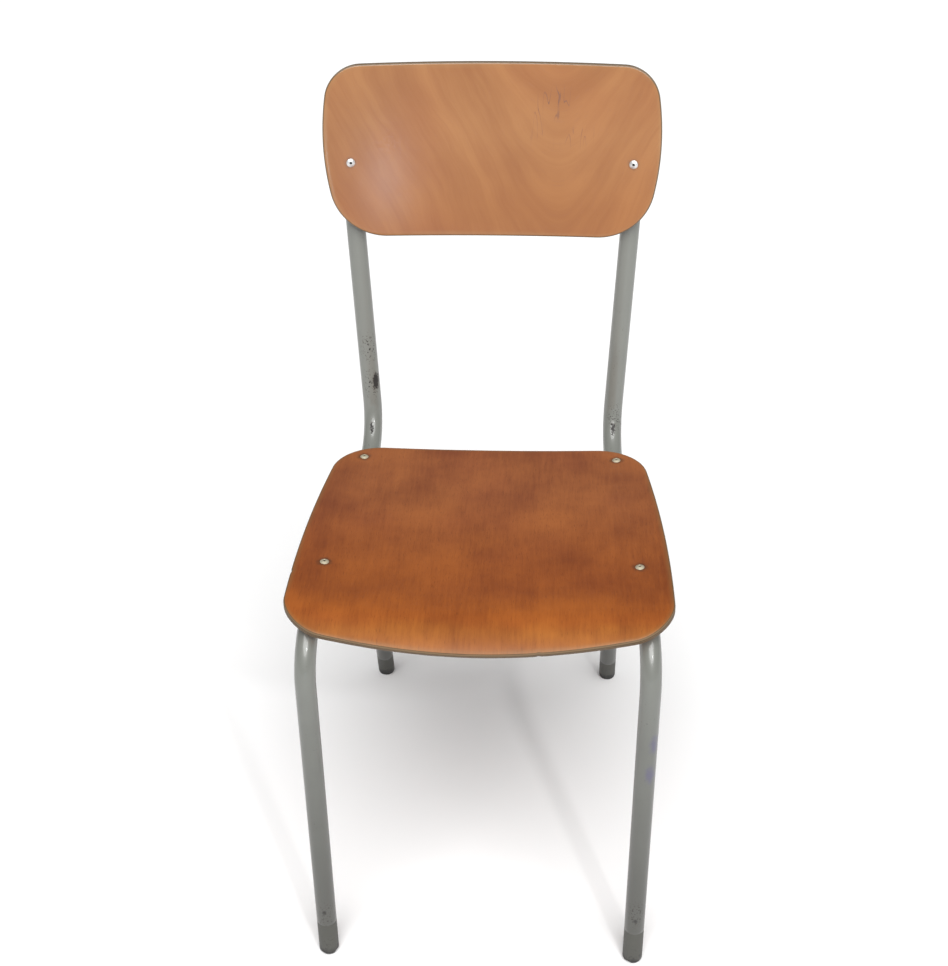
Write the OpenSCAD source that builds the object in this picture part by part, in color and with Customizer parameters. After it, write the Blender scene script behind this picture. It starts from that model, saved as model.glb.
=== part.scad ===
// Stacking chair: two bent steel side tubes, two raked rear legs, and a
// pressed plywood seat and backrest held on by blind rivets.
// Millimetres. +Z is up, the sitter faces -Y, +X is the right side seen from the front.
// The origin is on the floor, in the middle of the chair's width and depth.

/* [Tubes] */
// Outer diameter of the side tubes and rear legs
tube_d = 22; // [20:0.5:27]
// Wall thickness of every tube
tube_wall = 1.5; // [1:0.1:2]
// Outer diameter of the two cross tubes under the seat
cross_tube_d = 16; // [12:0.5:18]
// Bend radius between the front leg and the seat rail, on the tube's axis
front_bend_r = 60; // [45:1:75]
// Bend radius between the seat rail and the back upright, on the tube's axis
rear_bend_r = 60; // [45:1:64]
// How much thicker a bend is than the straight tube, on its inside and its outside
bend_swell = 0.05; // [0.03:0.01:0.1]
// How far a weld bead reaches along the tube that it holds
weld_reach = 3; // [2:0.1:4]
// How far a weld bead stands out around that tube
weld_rise = 2; // [1.2:0.1:3]
// Gap between a weld bead and the tube that it runs round
weld_ease = 0.03; // [0.02:0.01:0.05]
// Gap between a tube's shaped end and the rail, which the weld closes
weld_gap = 0.2; // [0.1:0.05:0.4]

/* [Side frames] */
// Height of the rail's axis where it meets the front leg's axis
rail_h = 427; // [330:1:500]
// How much lower the rail's axis is where it meets the upright's axis
rail_drop = 5; // [0:0.5:12]
// Distance between the two points above and below, front to rear
rail_len = 412; // [404:1:500]
// Width between the front legs' axes at the floor
front_foot_span = 342; // [285:1:410]
// Width between the rails' axes at the front
rail_front_span = 352; // [295:1:425]
// Width between the rails' axes at the rear
rail_rear_span = 284; // [240:1:340]
// How far the top of a front leg leans behind its foot
front_leg_rake = 10; // [0:1:30]
// Height of the top end of the uprights
upright_top_h = 843; // [760:1:900]
// Lean of the uprights behind vertical, in degrees
upright_lean = 6.6; // [2:0.2:14]
// Outward lean of each upright, in degrees
upright_splay = 3.25; // [0:0.25:6]

/* [Rear legs] */
// Width between the rear feet's axes at the floor
rear_foot_span = 308; // [250:1:380]
// Distance from the front feet's axes to the rear feet's axes at the floor
foot_depth = 512; // [440:1:600]
// Distance from the front feet's axes to where the rear legs meet the rails
rear_leg_top = 330; // [270:1:350]

/* [Cross tubes] */
// Distance from the front feet's axes to the front cross tube
front_cross_pos = 92; // [80:1:140]
// Distance from the front feet's axes to the rear cross tube
rear_cross_pos = 296; // [230:1:310]
// How far the cross tubes' axes lie below the rails' axes
cross_tube_drop = 2.5; // [1.5:0.1:2.9]

/* [Feet] */
// Length of a foot outside its tube
foot_len = 45; // [25:1:60]
// Length of the foot's shank inside the tube
foot_shank_len = 33; // [20:1:45]
// Depth worn flat under a foot's round end
foot_wear = 2.2; // [1:0.1:4]
// Diameter of the pin that holds a foot in its tube
foot_pin_d = 3.2; // [2.4:0.2:4]
// Length of that pin
foot_pin_len = 8; // [5:0.5:12]
// Distance from a foot's shoulder up to its pin
foot_pin_pos = 20; // [12:1:24]

/* [Upright caps] */
// Height of a cap's dome above the end of the upright
cap_dome_h = 5; // [3:0.5:8]
// Length of the cap's shank inside the upright
cap_shank_len = 14; // [8:1:20]

/* [Seat] */
// Thickness of the plywood
ply = 10; // [8:0.5:13]
// Largest width of the seat
seat_w = 398; // [360:1:480]
// Depth of the seat, front edge to rear edge
seat_depth = 379; // [340:1:400]
// How far the seat's front edge stands ahead of the front feet's axes
seat_overhang = 7; // [4:1:24]
// Distance from the front edge to where the seat is widest
seat_widest_pos = 70; // [60:1:110]
// Radius of the seat's side edges in plan
seat_side_r = 1900; // [1500:50:4000]
// Radius of the seat's front edge in plan
seat_front_r = 1000; // [600:10:1500]
// Radius of the seat's rear edge in plan
seat_rear_r = 6000; // [2000:100:9000]
// Radius of the seat's front corners in plan
seat_front_corner_r = 50; // [35:1:60]
// Radius of the seat's rear corners in plan
seat_rear_corner_r = 60; // [30:1:90]
// Radius of the shallow dish across the seat
seat_dish_r = 3000; // [2200:50:6000]
// Radius of the bent-down front lip, on its top surface
lip_r = 90; // [60:1:120]
// Angle that the front lip bends down, in degrees
lip_angle = 38; // [20:1:45]
// Distance from the front feet's axes to the front rivets
front_rivet_pos = 121; // [105:1:150]
// Distance from the front feet's axes to the rear rivets
rear_rivet_pos = 345; // [320:1:352]

/* [Backrest] */
// Largest width of the backrest
back_w = 376; // [340:1:440]
// Height of the backrest above its rivets
back_rise = 109; // [85:1:125]
// Height of the backrest below its rivets
back_fall = 86.5; // [70:0.5:105]
// Height above the rivets where the backrest is widest
back_widest_pos = 27; // [10:1:40]
// Radius of the backrest's side edges, seen from the front
back_side_r = 300; // [240:10:600]
// Radius of the backrest's top and bottom edges, seen from the front
back_edge_r = 9000; // [4000:500:20000]
// Radius of the backrest's top corners
back_top_corner_r = 40; // [25:1:50]
// Radius of the backrest's bottom corners
back_bottom_corner_r = 65; // [40:1:70]
// Radius of the backrest's front face, seen from above
back_curve_r = 900; // [600:10:1100]
// Height of the backrest rivets above the floor, on the upright's axis
back_rivet_h = 766; // [700:1:790]

/* [Rivets] */
// Diameter of a rivet's shank
rivet_d = 4.8; // [4:0.1:6]
// Diameter of a rivet's domed head
rivet_head_d = 10; // [8:0.5:14]
// Height of the domed head
rivet_head_h = 2; // [1.5:0.1:3]
// Diameter of the hole down the middle of a rivet
rivet_bore_d = 2.8; // [2:0.1:3]
// Diameter of the bulge that grips inside the tube
rivet_bulge_d = 7.2; // [6.2:0.1:8]
// Length of that bulge
rivet_bulge_len = 4; // [3:0.5:6]
// Depth below the top of a rivet at which its mandrel broke off
mandrel_recess = 1; // [0.5:0.1:2]
// Length of the mandrel's head
mandrel_head_len = 2.4; // [1.5:0.1:3]

/* [Fits] */
// Gap between the plywood and the tubes that it lies on
wood_gap = 0.05; // [0.02:0.01:0.2]
// Gap all round between a hole and the rivet or pin in it
hole_gap = 0.1; // [0.05:0.05:0.3]
// Gap all round between a tube's inside and the shank of a foot or cap
shank_gap = 0.1; // [0.05:0.05:0.3]
// Gap all round between a rivet and its mandrel
mandrel_gap = 0.05; // [0.03:0.01:0.1]

/* [Hidden] */
$fn = 96;

PAINT = [0.58, 0.59, 0.56];
FOOT_GREY = [0.42, 0.42, 0.39];
CAP_GREY = [0.36, 0.36, 0.35];
STEEL = [0.45, 0.44, 0.42];
ALUMINIUM = [0.80, 0.79, 0.75];
SEAT_WOOD = [0.60, 0.34, 0.19];
BACK_WOOD = [0.74, 0.50, 0.34];

tube_r = tube_d / 2;
bore_r = tube_r - tube_wall;
cross_r = cross_tube_d / 2;
shank_r = bore_r - shank_gap;
rivet_hole_r = rivet_d / 2 + hole_gap;
pin_hole_r = foot_pin_d / 2 + hole_gap;
// How far a straight tube runs on inside the thicker wall of a bend
bend_overlap = 1;
// How far a cutter reaches past what it cuts
past = 2;
// Steps along a rounded corner and along a large arc of an outline
arc_steps = 10;
edge_steps = 8;
// Facets of a full turn, for the largest radii
FINE = 1440;

// ---- Vectors ----

function unit(v) = v / norm(v);
function on_line(p, q, share) = p + (q - p) * share;
function heading(v) = atan2(v.y, v.x);
// Angle that a path turns through at b
function turn(a, b, c) = acos(unit(b - a) * unit(c - b));
// Distance from b to where a bend of radius r starts, on the path from a to c
function bend_cut(a, b, c, r) = r * tan(turn(a, b, c) / 2);
// The point at a given Y, and at a given height, on the line through p and q
function at_y(p, q, y) = on_line(p, q, (y - p.y) / (q.y - p.y));
function at_z(p, q, z) = on_line(p, q, (z - p.z) / (q.z - p.z));

// ---- Points of the frame ----
// They lie on the tubes' axes, on the right side. Y starts at the front feet here.

front_foot = [front_foot_span / 2, 0, 0];
front_corner = [rail_front_span / 2, front_leg_rake, rail_h];
rear_corner = [rail_rear_span / 2, front_leg_rake + rail_len, rail_h - rail_drop];
upright_rise = upright_top_h - rear_corner.z;
upright_end = rear_corner + upright_rise * [tan(upright_splay), tan(upright_lean), 1];
rear_foot = [rear_foot_span / 2, foot_depth, 0];
rear_leg_end = at_y(front_corner, rear_corner, rear_leg_top);
rail_dir = unit(rear_corner - front_corner);
upright_dir = unit(upright_end - rear_corner);

// Each leg is [foot, top, heading of its pin along Y]
FRONT_LEG = [front_foot, front_corner, -1];
REAR_LEG = [rear_foot, rear_leg_end, 1];
function leg_dir(leg) = unit(leg[1] - leg[0]);
// Centre of the round end under a foot, which is worn flat at the floor
function foot_centre(leg) = at_z(leg[0], leg[1], tube_r - foot_wear);
// Where a foot's shoulder meets the end of its tube
function foot_shoulder(leg) = leg[0] + leg_dir(leg) * foot_len;

// ---- Place of the seat ----
// The seat is dished about a long axis above it. The axis is tilted so that the seat's
// underside runs along both rails, which close in towards the rear.

seat_mid = at_y(front_corner, rear_corner, (front_rivet_pos + rear_rivet_pos) / 2);
dish_reach = seat_dish_r + ply + wood_gap + tube_r;
dish_turn = asin(seat_mid.x / dish_reach);
seat_slope = atan(-rail_dir.z / rail_dir.y) - atan(-rail_dir.x / rail_dir.y * tan(dish_turn));
seat_up = [0, sin(seat_slope), cos(seat_slope)];
seat_back = [0, cos(seat_slope), -sin(seat_slope)];
dish_centre = [0, seat_mid.y, seat_mid.z] + seat_up * dish_reach * cos(dish_turn);
// Places along the seat, from the middle between its rivets towards the rear
seat_front = -seat_overhang - seat_mid.y;
seat_rear = seat_front + seat_depth;
lip_start = seat_front + lip_r * sin(lip_angle);

// ---- Place of the backrest ----
// The backrest is a piece of a large ring. The ring's axis leans back so that the
// backrest's rear face runs along both uprights, which splay outwards.

back_hold = at_z(rear_corner, upright_end, back_rivet_h);
ring_reach = back_curve_r + ply + wood_gap + tube_r;
ring_turn = asin(back_hold.x / ring_reach);
back_lean = atan2(upright_dir.y, upright_dir.z)
    + asin(upright_dir.x * tan(ring_turn) / norm([upright_dir.y, upright_dir.z]));
back_forward = [0, -cos(back_lean), sin(back_lean)];
back_up = [0, sin(back_lean), cos(back_lean)];
ring_centre = [0, back_hold.y, back_hold.z] + back_forward * ring_reach * cos(ring_turn);

// ---- The origin ----

chair_front = -seat_overhang;
chair_rear = foot_centre(REAR_LEG).y + tube_r;

// Moves the children from the front feet to the chair's own origin
module chair_frame() {
    translate([0, -(chair_front + chair_rear) / 2, 0]) children();
}

module left() {
    mirror([1, 0, 0]) children();
}

module both_sides() {
    children();
    left() children();
}

// ---- Placing ----

// Puts the children's origin at o, their X along x and their Y along y
module place(o, x, y) {
    z = cross(x, y);
    multmatrix([
        [x.x, y.x, z.x, o.x],
        [x.y, y.y, z.y, o.y],
        [x.z, y.z, z.z, o.z]
    ]) children();
}

// Puts the children's origin at p and their Z towards q, with their X level
module along(p, q) {
    z = unit(q - p);
    x = unit(abs(z.z) < 0.99 ? cross([0, 0, 1], z) : cross([0, 1, 0], z));
    place(p, x, cross(z, x)) children();
}

module rod(p, q, r) {
    along(p, q) cylinder(r = r, h = norm(q - p));
}

// A rod that runs on past both of its ends
module long_rod(p, q, r) {
    reach = unit(q - p) * tube_d;
    rod(p - reach, q + reach, r);
}

module ring_2d(outer, inner) {
    difference() {
        circle(r = outer);
        circle(r = inner);
    }
}

module straight_tube(p, q, r) {
    along(p, q) linear_extrude(norm(q - p)) ring_2d(r, r - tube_wall);
}

// The bend at b, on the path from a to c
module bent_tube(a, b, c, r) {
    angle = turn(a, b, c);
    start = b + unit(a - b) * bend_cut(a, b, c, r);
    centre = b + unit(unit(a - b) + unit(c - b)) * r / cos(angle / 2);
    place(centre, unit(start - centre), unit(b - a))
        rotate_extrude(angle = angle)
            translate([r, 0]) ring_2d(tube_r + bend_swell, bore_r - bend_swell);
}

// ---- Outlines with rounded corners ----
// An outline is four large arcs, each [centre, radius], counter-clockwise from the lowest.
// Its corners are [radius, way out], and each follows the arc of the same number.

function point_on(c, r, a) = c + r * [cos(a), sin(a)];
// Centre of a corner of radius r that touches two large circles from inside
function corner_centre(c1, r1, c2, r2, r, way_out) =
    let (
        span = norm(c2 - c1),
        reach = ((r1 - r) ^ 2 - (r2 - r) ^ 2 + span ^ 2) / (2 * span),
        foot = c1 + unit(c2 - c1) * reach,
        step = sqrt((r1 - r) ^ 2 - reach ^ 2) * unit([c1.y - c2.y, c2.x - c1.x])
    )
    step * way_out > 0 ? foot + step : foot - step;
// Points from heading a0 round to heading a1, without the last one
function arc_points(c, r, a0, a1, steps) =
    let (sweep = (a1 - a0 + 720) % 360)
    [for (i = [0:steps - 1]) point_on(c, r, a0 + sweep * i / steps)];
function rounded_outline(arcs, corners) =
    let (
        n = len(arcs),
        centres = [for (i = [0:n - 1])
            let (a = arcs[i], b = arcs[(i + 1) % n])
            corner_centre(a[0], a[1], b[0], b[1], corners[i][0], corners[i][1])]
    )
    [for (i = [0:n - 1])
        let (
            a = arcs[i],
            b = arcs[(i + 1) % n],
            start = heading(centres[(i + n - 1) % n] - a[0]),
            end = heading(centres[i] - a[0]),
            next = heading(centres[i] - b[0])
        )
        each concat(
            arc_points(a[0], a[1], start, end, edge_steps),
            arc_points(centres[i], corners[i][0], end, next, arc_steps)
        )];
// The four arcs of an outline of a given half width, front or bottom edge first
function four_arcs(half_w, widest, side_r, low, low_r, high, high_r) = [
    [[0, low + low_r], low_r],
    [[half_w - side_r, widest], side_r],
    [[0, high - high_r], high_r],
    [[side_r - half_w, widest], side_r]
];
function four_corners(low_r, high_r) = [
    [low_r, [1, -1]],
    [high_r, [1, 1]],
    [high_r, [-1, 1]],
    [low_r, [-1, -1]]
];

// ---- Places of rivets and pins, on the right side ----

// Puts the children's Z along a rivet, up from the wood's face
module at_rivet(centre, hold, face_r) {
    aim = unit(centre - hold);
    face = centre - aim * face_r;
    along(face, face + aim) children();
}

module at_seat_rivet(y) {
    centre = dish_centre + seat_back * (y - seat_mid.y);
    at_rivet(centre, at_y(front_corner, rear_corner, y), seat_dish_r) children();
}

module at_seat_rivets() {
    for (y = [front_rivet_pos, rear_rivet_pos]) at_seat_rivet(y) children();
}

module at_back_rivet() {
    at_rivet(ring_centre, back_hold, back_curve_r) children();
}

// Puts the children's Z along a foot's pin, out from the tube's face
module at_pin(leg) {
    p = foot_shoulder(leg) + leg_dir(leg) * foot_pin_pos;
    out = unit(cross(cross(leg_dir(leg), [0, leg[2], 0]), leg_dir(leg)));
    along(p + out * tube_r, p + out * (tube_r + 1)) children();
}

module rivet_hole() {
    depth = ply + wood_gap + tube_wall + past;
    translate([0, 0, -depth]) cylinder(r = rivet_hole_r, h = depth + past);
}

module pin_hole() {
    translate([0, 0, -foot_pin_len]) cylinder(r = pin_hole_r, h = foot_pin_len + past);
}

// ---- Frame tubes ----

module side_tube() {
    a = foot_shoulder(FRONT_LEG);
    b = front_corner;
    c = rear_corner;
    d = upright_end;
    front_cut = bend_cut(a, b, c, front_bend_r) - bend_overlap;
    rear_cut = bend_cut(b, c, d, rear_bend_r) - bend_overlap;
    color(PAINT) difference() {
        union() {
            bent_tube(a, b, c, front_bend_r);
            bent_tube(b, c, d, rear_bend_r);
            straight_tube(a, b + unit(a - b) * front_cut, tube_r);
            straight_tube(b + rail_dir * front_cut, c - rail_dir * rear_cut, tube_r);
            straight_tube(c + upright_dir * rear_cut, d, tube_r);
        }
        at_seat_rivets() rivet_hole();
        at_back_rivet() rivet_hole();
        at_pin(FRONT_LEG) pin_hole();
    }
}

module rail_rod(r) {
    long_rod(front_corner, rear_corner, r);
}

module rear_leg() {
    color(PAINT) difference() {
        straight_tube(foot_shoulder(REAR_LEG), rear_leg_end, tube_r);
        rail_rod(tube_r + weld_gap);
        at_pin(REAR_LEG) pin_hole();
    }
}

// The end of a cross tube's axis
function cross_end(y) = at_y(front_corner, rear_corner, y) - [0, 0, cross_tube_drop];

module cross_tube(y) {
    end = cross_end(y);
    color(PAINT) difference() {
        straight_tube([-end.x, end.y, end.z], end, cross_r);
        both_sides() rail_rod(tube_r + weld_gap);
    }
}

// The ring of weld metal where a rod of radius r, from p to q, leaves the rail
module weld_bead(p, q, r) {
    color(STEEL) difference() {
        intersection() {
            rail_rod(tube_r + weld_reach);
            rod(p, q, r + weld_rise);
        }
        rail_rod(tube_r);
        long_rod(p, q, r + weld_ease);
    }
}

module cross_weld(y) {
    end = cross_end(y);
    weld_bead(end, [0, end.y, end.z], cross_r);
}

// ---- Feet, pins and caps ----

module foot_profile(shoulder) {
    intersection() {
        circle(r = tube_r);
        translate([0, -tube_r]) square([tube_r, tube_r]);
    }
    square([tube_r, shoulder]);
    translate([0, shoulder]) square([shank_r, foot_shank_len]);
}

module foot_piece(leg) {
    centre = foot_centre(leg);
    shoulder = foot_shoulder(leg);
    color(FOOT_GREY) difference() {
        along(centre, shoulder) rotate_extrude() foot_profile(norm(shoulder - centre));
        translate([centre.x, centre.y, -tube_d]) cylinder(r = tube_d, h = tube_d);
        at_pin(leg) pin_hole();
    }
}

module foot_pin() {
    color(STEEL) translate([0, 0, -foot_pin_len]) cylinder(d = foot_pin_d, h = foot_pin_len);
}

// Radius of a dome of a given height over a round base
function dome_radius(base_r, h) = (base_r ^ 2 + h ^ 2) / (2 * h);

// Half of a dome in profile, standing on the X axis
module dome_profile(base_r, h) {
    r = dome_radius(base_r, h);
    intersection() {
        translate([0, h - r]) circle(r = r);
        square([base_r, h]);
    }
}

module upright_cap() {
    color(CAP_GREY) along(upright_end, upright_end + upright_dir) rotate_extrude() {
        dome_profile(tube_r, cap_dome_h);
        translate([0, -cap_shank_len]) square([shank_r, cap_shank_len]);
    }
}

// ---- Seat ----

// Side view of the bent plywood: X is the distance from the dish's axis, Y runs to the rear
module seat_profile() {
    translate([seat_dish_r, lip_start]) square([ply, seat_rear + past - lip_start]);
    intersection() {
        translate([seat_dish_r + lip_r, lip_start]) ring_2d(lip_r, lip_r - ply);
        translate([seat_dish_r, lip_start - lip_r]) square(lip_r);
    }
}

module seat_blank() {
    half_angle = asin(seat_w / 2 / seat_dish_r) + 1;
    place(dish_centre, -seat_up, [-1, 0, 0]) rotate([0, 0, -half_angle])
        rotate_extrude(angle = 2 * half_angle, $fn = FINE) seat_profile();
}

module seat_outline() {
    arcs = four_arcs(
        seat_w / 2, seat_front + seat_widest_pos, seat_side_r,
        seat_front, seat_front_r, seat_rear, seat_rear_r
    );
    corners = four_corners(seat_front_corner_r, seat_rear_corner_r);
    place(dish_centre, [1, 0, 0], seat_back) translate([0, 0, -seat_dish_r - lip_r])
        linear_extrude(2 * lip_r) polygon(rounded_outline(arcs, corners));
}

// The front edge is cut square to the bent lip, round this tilted cylinder
module lip_end() {
    r = seat_front_r * cos(lip_angle);
    drop = lip_r * (1 - cos(lip_angle));
    edge = dish_centre + seat_back * seat_front - seat_up * (seat_dish_r + drop);
    middle = edge + [0, cos(lip_angle), sin(lip_angle)] * r;
    aim = [0, -sin(lip_angle), cos(lip_angle)] * r;
    rod(middle - aim, middle + aim, r, $fn = FINE);
}

module seat_shell() {
    color(SEAT_WOOD) difference() {
        intersection() {
            seat_blank();
            seat_outline();
            lip_end();
        }
        both_sides() at_seat_rivets() rivet_hole();
    }
}

// ---- Backrest ----

module back_blank() {
    half_angle = asin(back_w / 2 / back_curve_r) + 1;
    place(ring_centre, -back_forward, [-1, 0, 0]) rotate([0, 0, -half_angle])
        translate([0, 0, -back_fall - past])
            rotate_extrude(angle = 2 * half_angle, $fn = FINE)
                translate([back_curve_r, 0]) square([ply, back_fall + back_rise + 2 * past]);
}

module back_outline() {
    arcs = four_arcs(
        back_w / 2, back_widest_pos, back_side_r,
        -back_fall, back_edge_r, back_rise, back_edge_r
    );
    corners = four_corners(back_bottom_corner_r, back_top_corner_r);
    place(ring_centre, [1, 0, 0], back_up) translate([0, 0, -back_curve_r - 2 * ply])
        linear_extrude(back_curve_r / 4) polygon(rounded_outline(arcs, corners));
}

module backrest_shell() {
    color(BACK_WOOD) difference() {
        intersection() {
            back_blank();
            back_outline();
        }
        both_sides() at_back_rivet() rivet_hole();
    }
}

// ---- Rivets, with the wood's face at height 0 ----

rivet_bulge_r = rivet_bulge_d / 2;
// The bulge rests on the curved inside of the tube
bulge_top = -(ply + wood_gap + tube_r - sqrt(bore_r ^ 2 - rivet_bulge_r ^ 2));
bulge_end = bulge_top - rivet_bulge_len;

module rivet_bore() {
    translate([0, bulge_end - past])
        square([rivet_bore_d / 2, rivet_head_h - bulge_end + 2 * past]);
}

module rivet() {
    color(ALUMINIUM) rotate_extrude() difference() {
        union() {
            dome_profile(rivet_head_d / 2, rivet_head_h);
            translate([0, bulge_end]) square([rivet_d / 2, -bulge_end]);
            translate([0, bulge_end]) square([rivet_bulge_r, rivet_bulge_len]);
        }
        rivet_bore();
    }
}

// What is left of the pulling stem, with its head below the bulge
module mandrel() {
    color(STEEL) rotate_extrude() {
        translate([0, bulge_end - mandrel_head_len]) square([rivet_d / 2, mandrel_head_len]);
        translate([0, bulge_end])
            square([rivet_bore_d / 2 - mandrel_gap, rivet_head_h - mandrel_recess - bulge_end]);
    }
}

chair_frame() left() side_tube();  // left_side_tube
chair_frame() side_tube();  // right_side_tube
chair_frame() left() rear_leg();  // left_rear_leg
chair_frame() rear_leg();  // right_rear_leg
chair_frame() cross_tube(front_cross_pos);  // front_cross_tube
chair_frame() cross_tube(rear_cross_pos);  // rear_cross_tube
chair_frame() both_sides() cross_weld(front_cross_pos);  // front_cross_welds
chair_frame() both_sides() cross_weld(rear_cross_pos);  // rear_cross_welds
chair_frame() both_sides() weld_bead(rear_leg_end, rear_foot, tube_r);  // rear_leg_welds
chair_frame() left() foot_piece(FRONT_LEG);  // left_front_foot
chair_frame() foot_piece(FRONT_LEG);  // right_front_foot
chair_frame() left() foot_piece(REAR_LEG);  // left_rear_foot
chair_frame() foot_piece(REAR_LEG);  // right_rear_foot
chair_frame() both_sides() for (leg = [FRONT_LEG, REAR_LEG]) at_pin(leg) foot_pin();  // foot_pins
chair_frame() left() upright_cap();  // left_upright_cap
chair_frame() upright_cap();  // right_upright_cap
chair_frame() seat_shell();
chair_frame() both_sides() at_seat_rivets() rivet();  // seat_rivets
chair_frame() both_sides() at_seat_rivets() mandrel();  // seat_rivet_mandrels
chair_frame() backrest_shell();
chair_frame() both_sides() at_back_rivet() rivet();  // backrest_rivets
chair_frame() both_sides() at_back_rivet() mandrel();  // backrest_rivet_mandrels
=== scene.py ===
"""Stacking chair: painted tube frame, varnished plywood seat and backrest, rivets, feet and caps.

Laid out as an add-on and run as a script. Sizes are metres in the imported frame: +Z up, the
sitter faces -Y, the floor at z 0. "Right" is +X, as seen from the front.
"""

import math
from types import SimpleNamespace

import bmesh
import bpy
import numpy as np
from bpy.props import FloatProperty, FloatVectorProperty, IntProperty, PointerProperty
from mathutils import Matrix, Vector


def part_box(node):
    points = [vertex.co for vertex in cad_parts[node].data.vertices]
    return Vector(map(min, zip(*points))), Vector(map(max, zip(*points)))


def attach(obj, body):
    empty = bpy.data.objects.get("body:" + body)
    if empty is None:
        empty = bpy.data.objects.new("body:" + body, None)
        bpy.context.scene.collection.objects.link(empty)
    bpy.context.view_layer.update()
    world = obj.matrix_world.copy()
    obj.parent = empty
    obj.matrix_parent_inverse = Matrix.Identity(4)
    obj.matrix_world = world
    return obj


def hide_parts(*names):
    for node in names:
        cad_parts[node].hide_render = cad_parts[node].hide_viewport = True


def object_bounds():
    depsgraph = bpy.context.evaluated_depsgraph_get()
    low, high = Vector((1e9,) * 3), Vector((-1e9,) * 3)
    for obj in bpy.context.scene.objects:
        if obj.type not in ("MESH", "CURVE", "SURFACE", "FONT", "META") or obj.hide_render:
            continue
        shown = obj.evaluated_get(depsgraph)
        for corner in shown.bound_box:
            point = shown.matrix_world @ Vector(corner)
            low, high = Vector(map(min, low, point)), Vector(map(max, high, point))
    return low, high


bl_info = {
    "name": "Stacking chair",
    "version": (1, 0, 0),
    "blender": (4, 5, 0),
    "location": "View3D > Sidebar > Chair",
    "description": "Builds a stacking chair's finished pieces round its packed frame",
    "category": "Add Mesh",
}

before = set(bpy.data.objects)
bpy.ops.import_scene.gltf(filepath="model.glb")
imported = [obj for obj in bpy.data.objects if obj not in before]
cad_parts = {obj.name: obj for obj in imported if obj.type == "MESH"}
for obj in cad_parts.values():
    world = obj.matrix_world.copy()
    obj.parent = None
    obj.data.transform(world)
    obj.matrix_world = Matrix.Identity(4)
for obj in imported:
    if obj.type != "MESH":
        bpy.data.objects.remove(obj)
CAD_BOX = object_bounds()
SEAT_FRONT_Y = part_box("seat_shell")[0].y

BODY = "root"
SIDES = (("left", -1), ("right", 1))
X_AXIS = Vector((1, 0, 0))
FIT_LIMIT = 0.003  # largest difference between a piece's box and its CAD nodes' box


# ---- Properties ----


def length(name, description, default):
    return FloatProperty(name=name, description=description, default=default, unit="LENGTH")


def angle(name, description, degrees):
    return FloatProperty(
        name=name, description=description, default=math.radians(degrees), unit="ROTATION"
    )


def share(name, description, default):
    return FloatProperty(
        name=name, description=description, default=default, min=0, max=1, subtype="FACTOR"
    )


def number(name, description, default):
    return FloatProperty(name=name, description=description, default=default)


def point(name, description, default):
    return FloatVectorProperty(
        name=name, description=description, default=default, subtype="TRANSLATION"
    )


def colour(name, description, default):
    return FloatVectorProperty(
        name=name, description=description, default=default, min=0, max=1, subtype="COLOR"
    )


def box_middle(node):
    low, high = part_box(node)
    return (low + high) / 2


def box_size(node):
    low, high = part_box(node)
    return high - low


class ChairTubeSizes(bpy.types.PropertyGroup):
    """Sizes of the bent frame"""

    tube_d: length("Tube diameter", "Outer diameter of the side tubes and rear legs", 0.022)
    wall: length("Wall", "Wall thickness of every tube", 0.0015)
    cross_d: length("Cross tube diameter", "Outer diameter", box_size("front_cross_tube").z)
    bend_r: length("Bend radius", "Radius of a side tube's bends, on its axis", 0.060)
    overhang: length("Overhang", "Seat's front edge ahead of the front feet's axes", 0.007)
    rail_h: length("Rail height", "Height of the rail's axis at the front", 0.427)
    rail_drop: length("Rail drop", "How much lower the rail's axis is at the rear", 0.005)
    rail_len: length("Rail length", "Front corner to rear corner, along Y", 0.412)
    foot_span: length("Front foot span", "Between the front feet's axes at the floor", 0.342)
    front_span: length("Front rail span", "Between the rails' axes at the front", 0.352)
    rear_span: length("Rear rail span", "Between the rails' axes at the rear", 0.284)
    rake: length("Front rake", "How far a front leg's top leans behind its foot", 0.010)
    top_h: length("Upright height", "Height of the top end of the uprights", 0.843)
    lean: angle("Upright lean", "Lean of the uprights behind vertical", 6.6)
    splay: angle("Upright splay", "Outward lean of each upright", 3.25)
    rear_foot_span: length("Rear foot span", "Between the rear feet's axes", 0.308)
    depth: length("Foot depth", "From the front feet's axes to the rear feet's", 0.512)
    rear_leg_top: length("Rear leg joint", "From the front feet to the rear legs' tops", 0.330)
    weld_r: length("Weld radius", "Radius of a weld bead's section", 0.0021)
    weld_gap: length("Weld gap", "Between a tube's shaped end and the rail", 0.0002)
    weld_pitch: length("Weld ripple", "Distance between two ripples of a weld bead", 0.0021)


class ChairFootSizes(bpy.types.PropertyGroup):
    """Sizes of the feet, pins and caps"""

    length_out: length("Foot length", "Length of a foot outside its tube", 0.045)
    shank: length("Shank length", "Length of a foot's shank inside the tube", 0.033)
    shank_gap: length("Shank gap", "Between a tube's inside and a shank", 0.0001)
    corner_r: length("Foot corner", "Radius of a foot's rounded end", 0.0065)
    wear: length("Foot wear", "Depth worn flat under a foot's round end", 0.0022)
    pin_d: length("Pin diameter", "Diameter of the pin that holds a foot", 0.0032)
    pin_len: length("Pin length", "Length of that pin", 0.008)
    pin_pos: length("Pin height", "From a foot's shoulder up to its pin", 0.020)
    dome: length("Cap dome", "Height of a cap's dome", 0.005)
    cap_shank: length("Cap shank", "Length of the cap's shank", 0.014)


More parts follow.
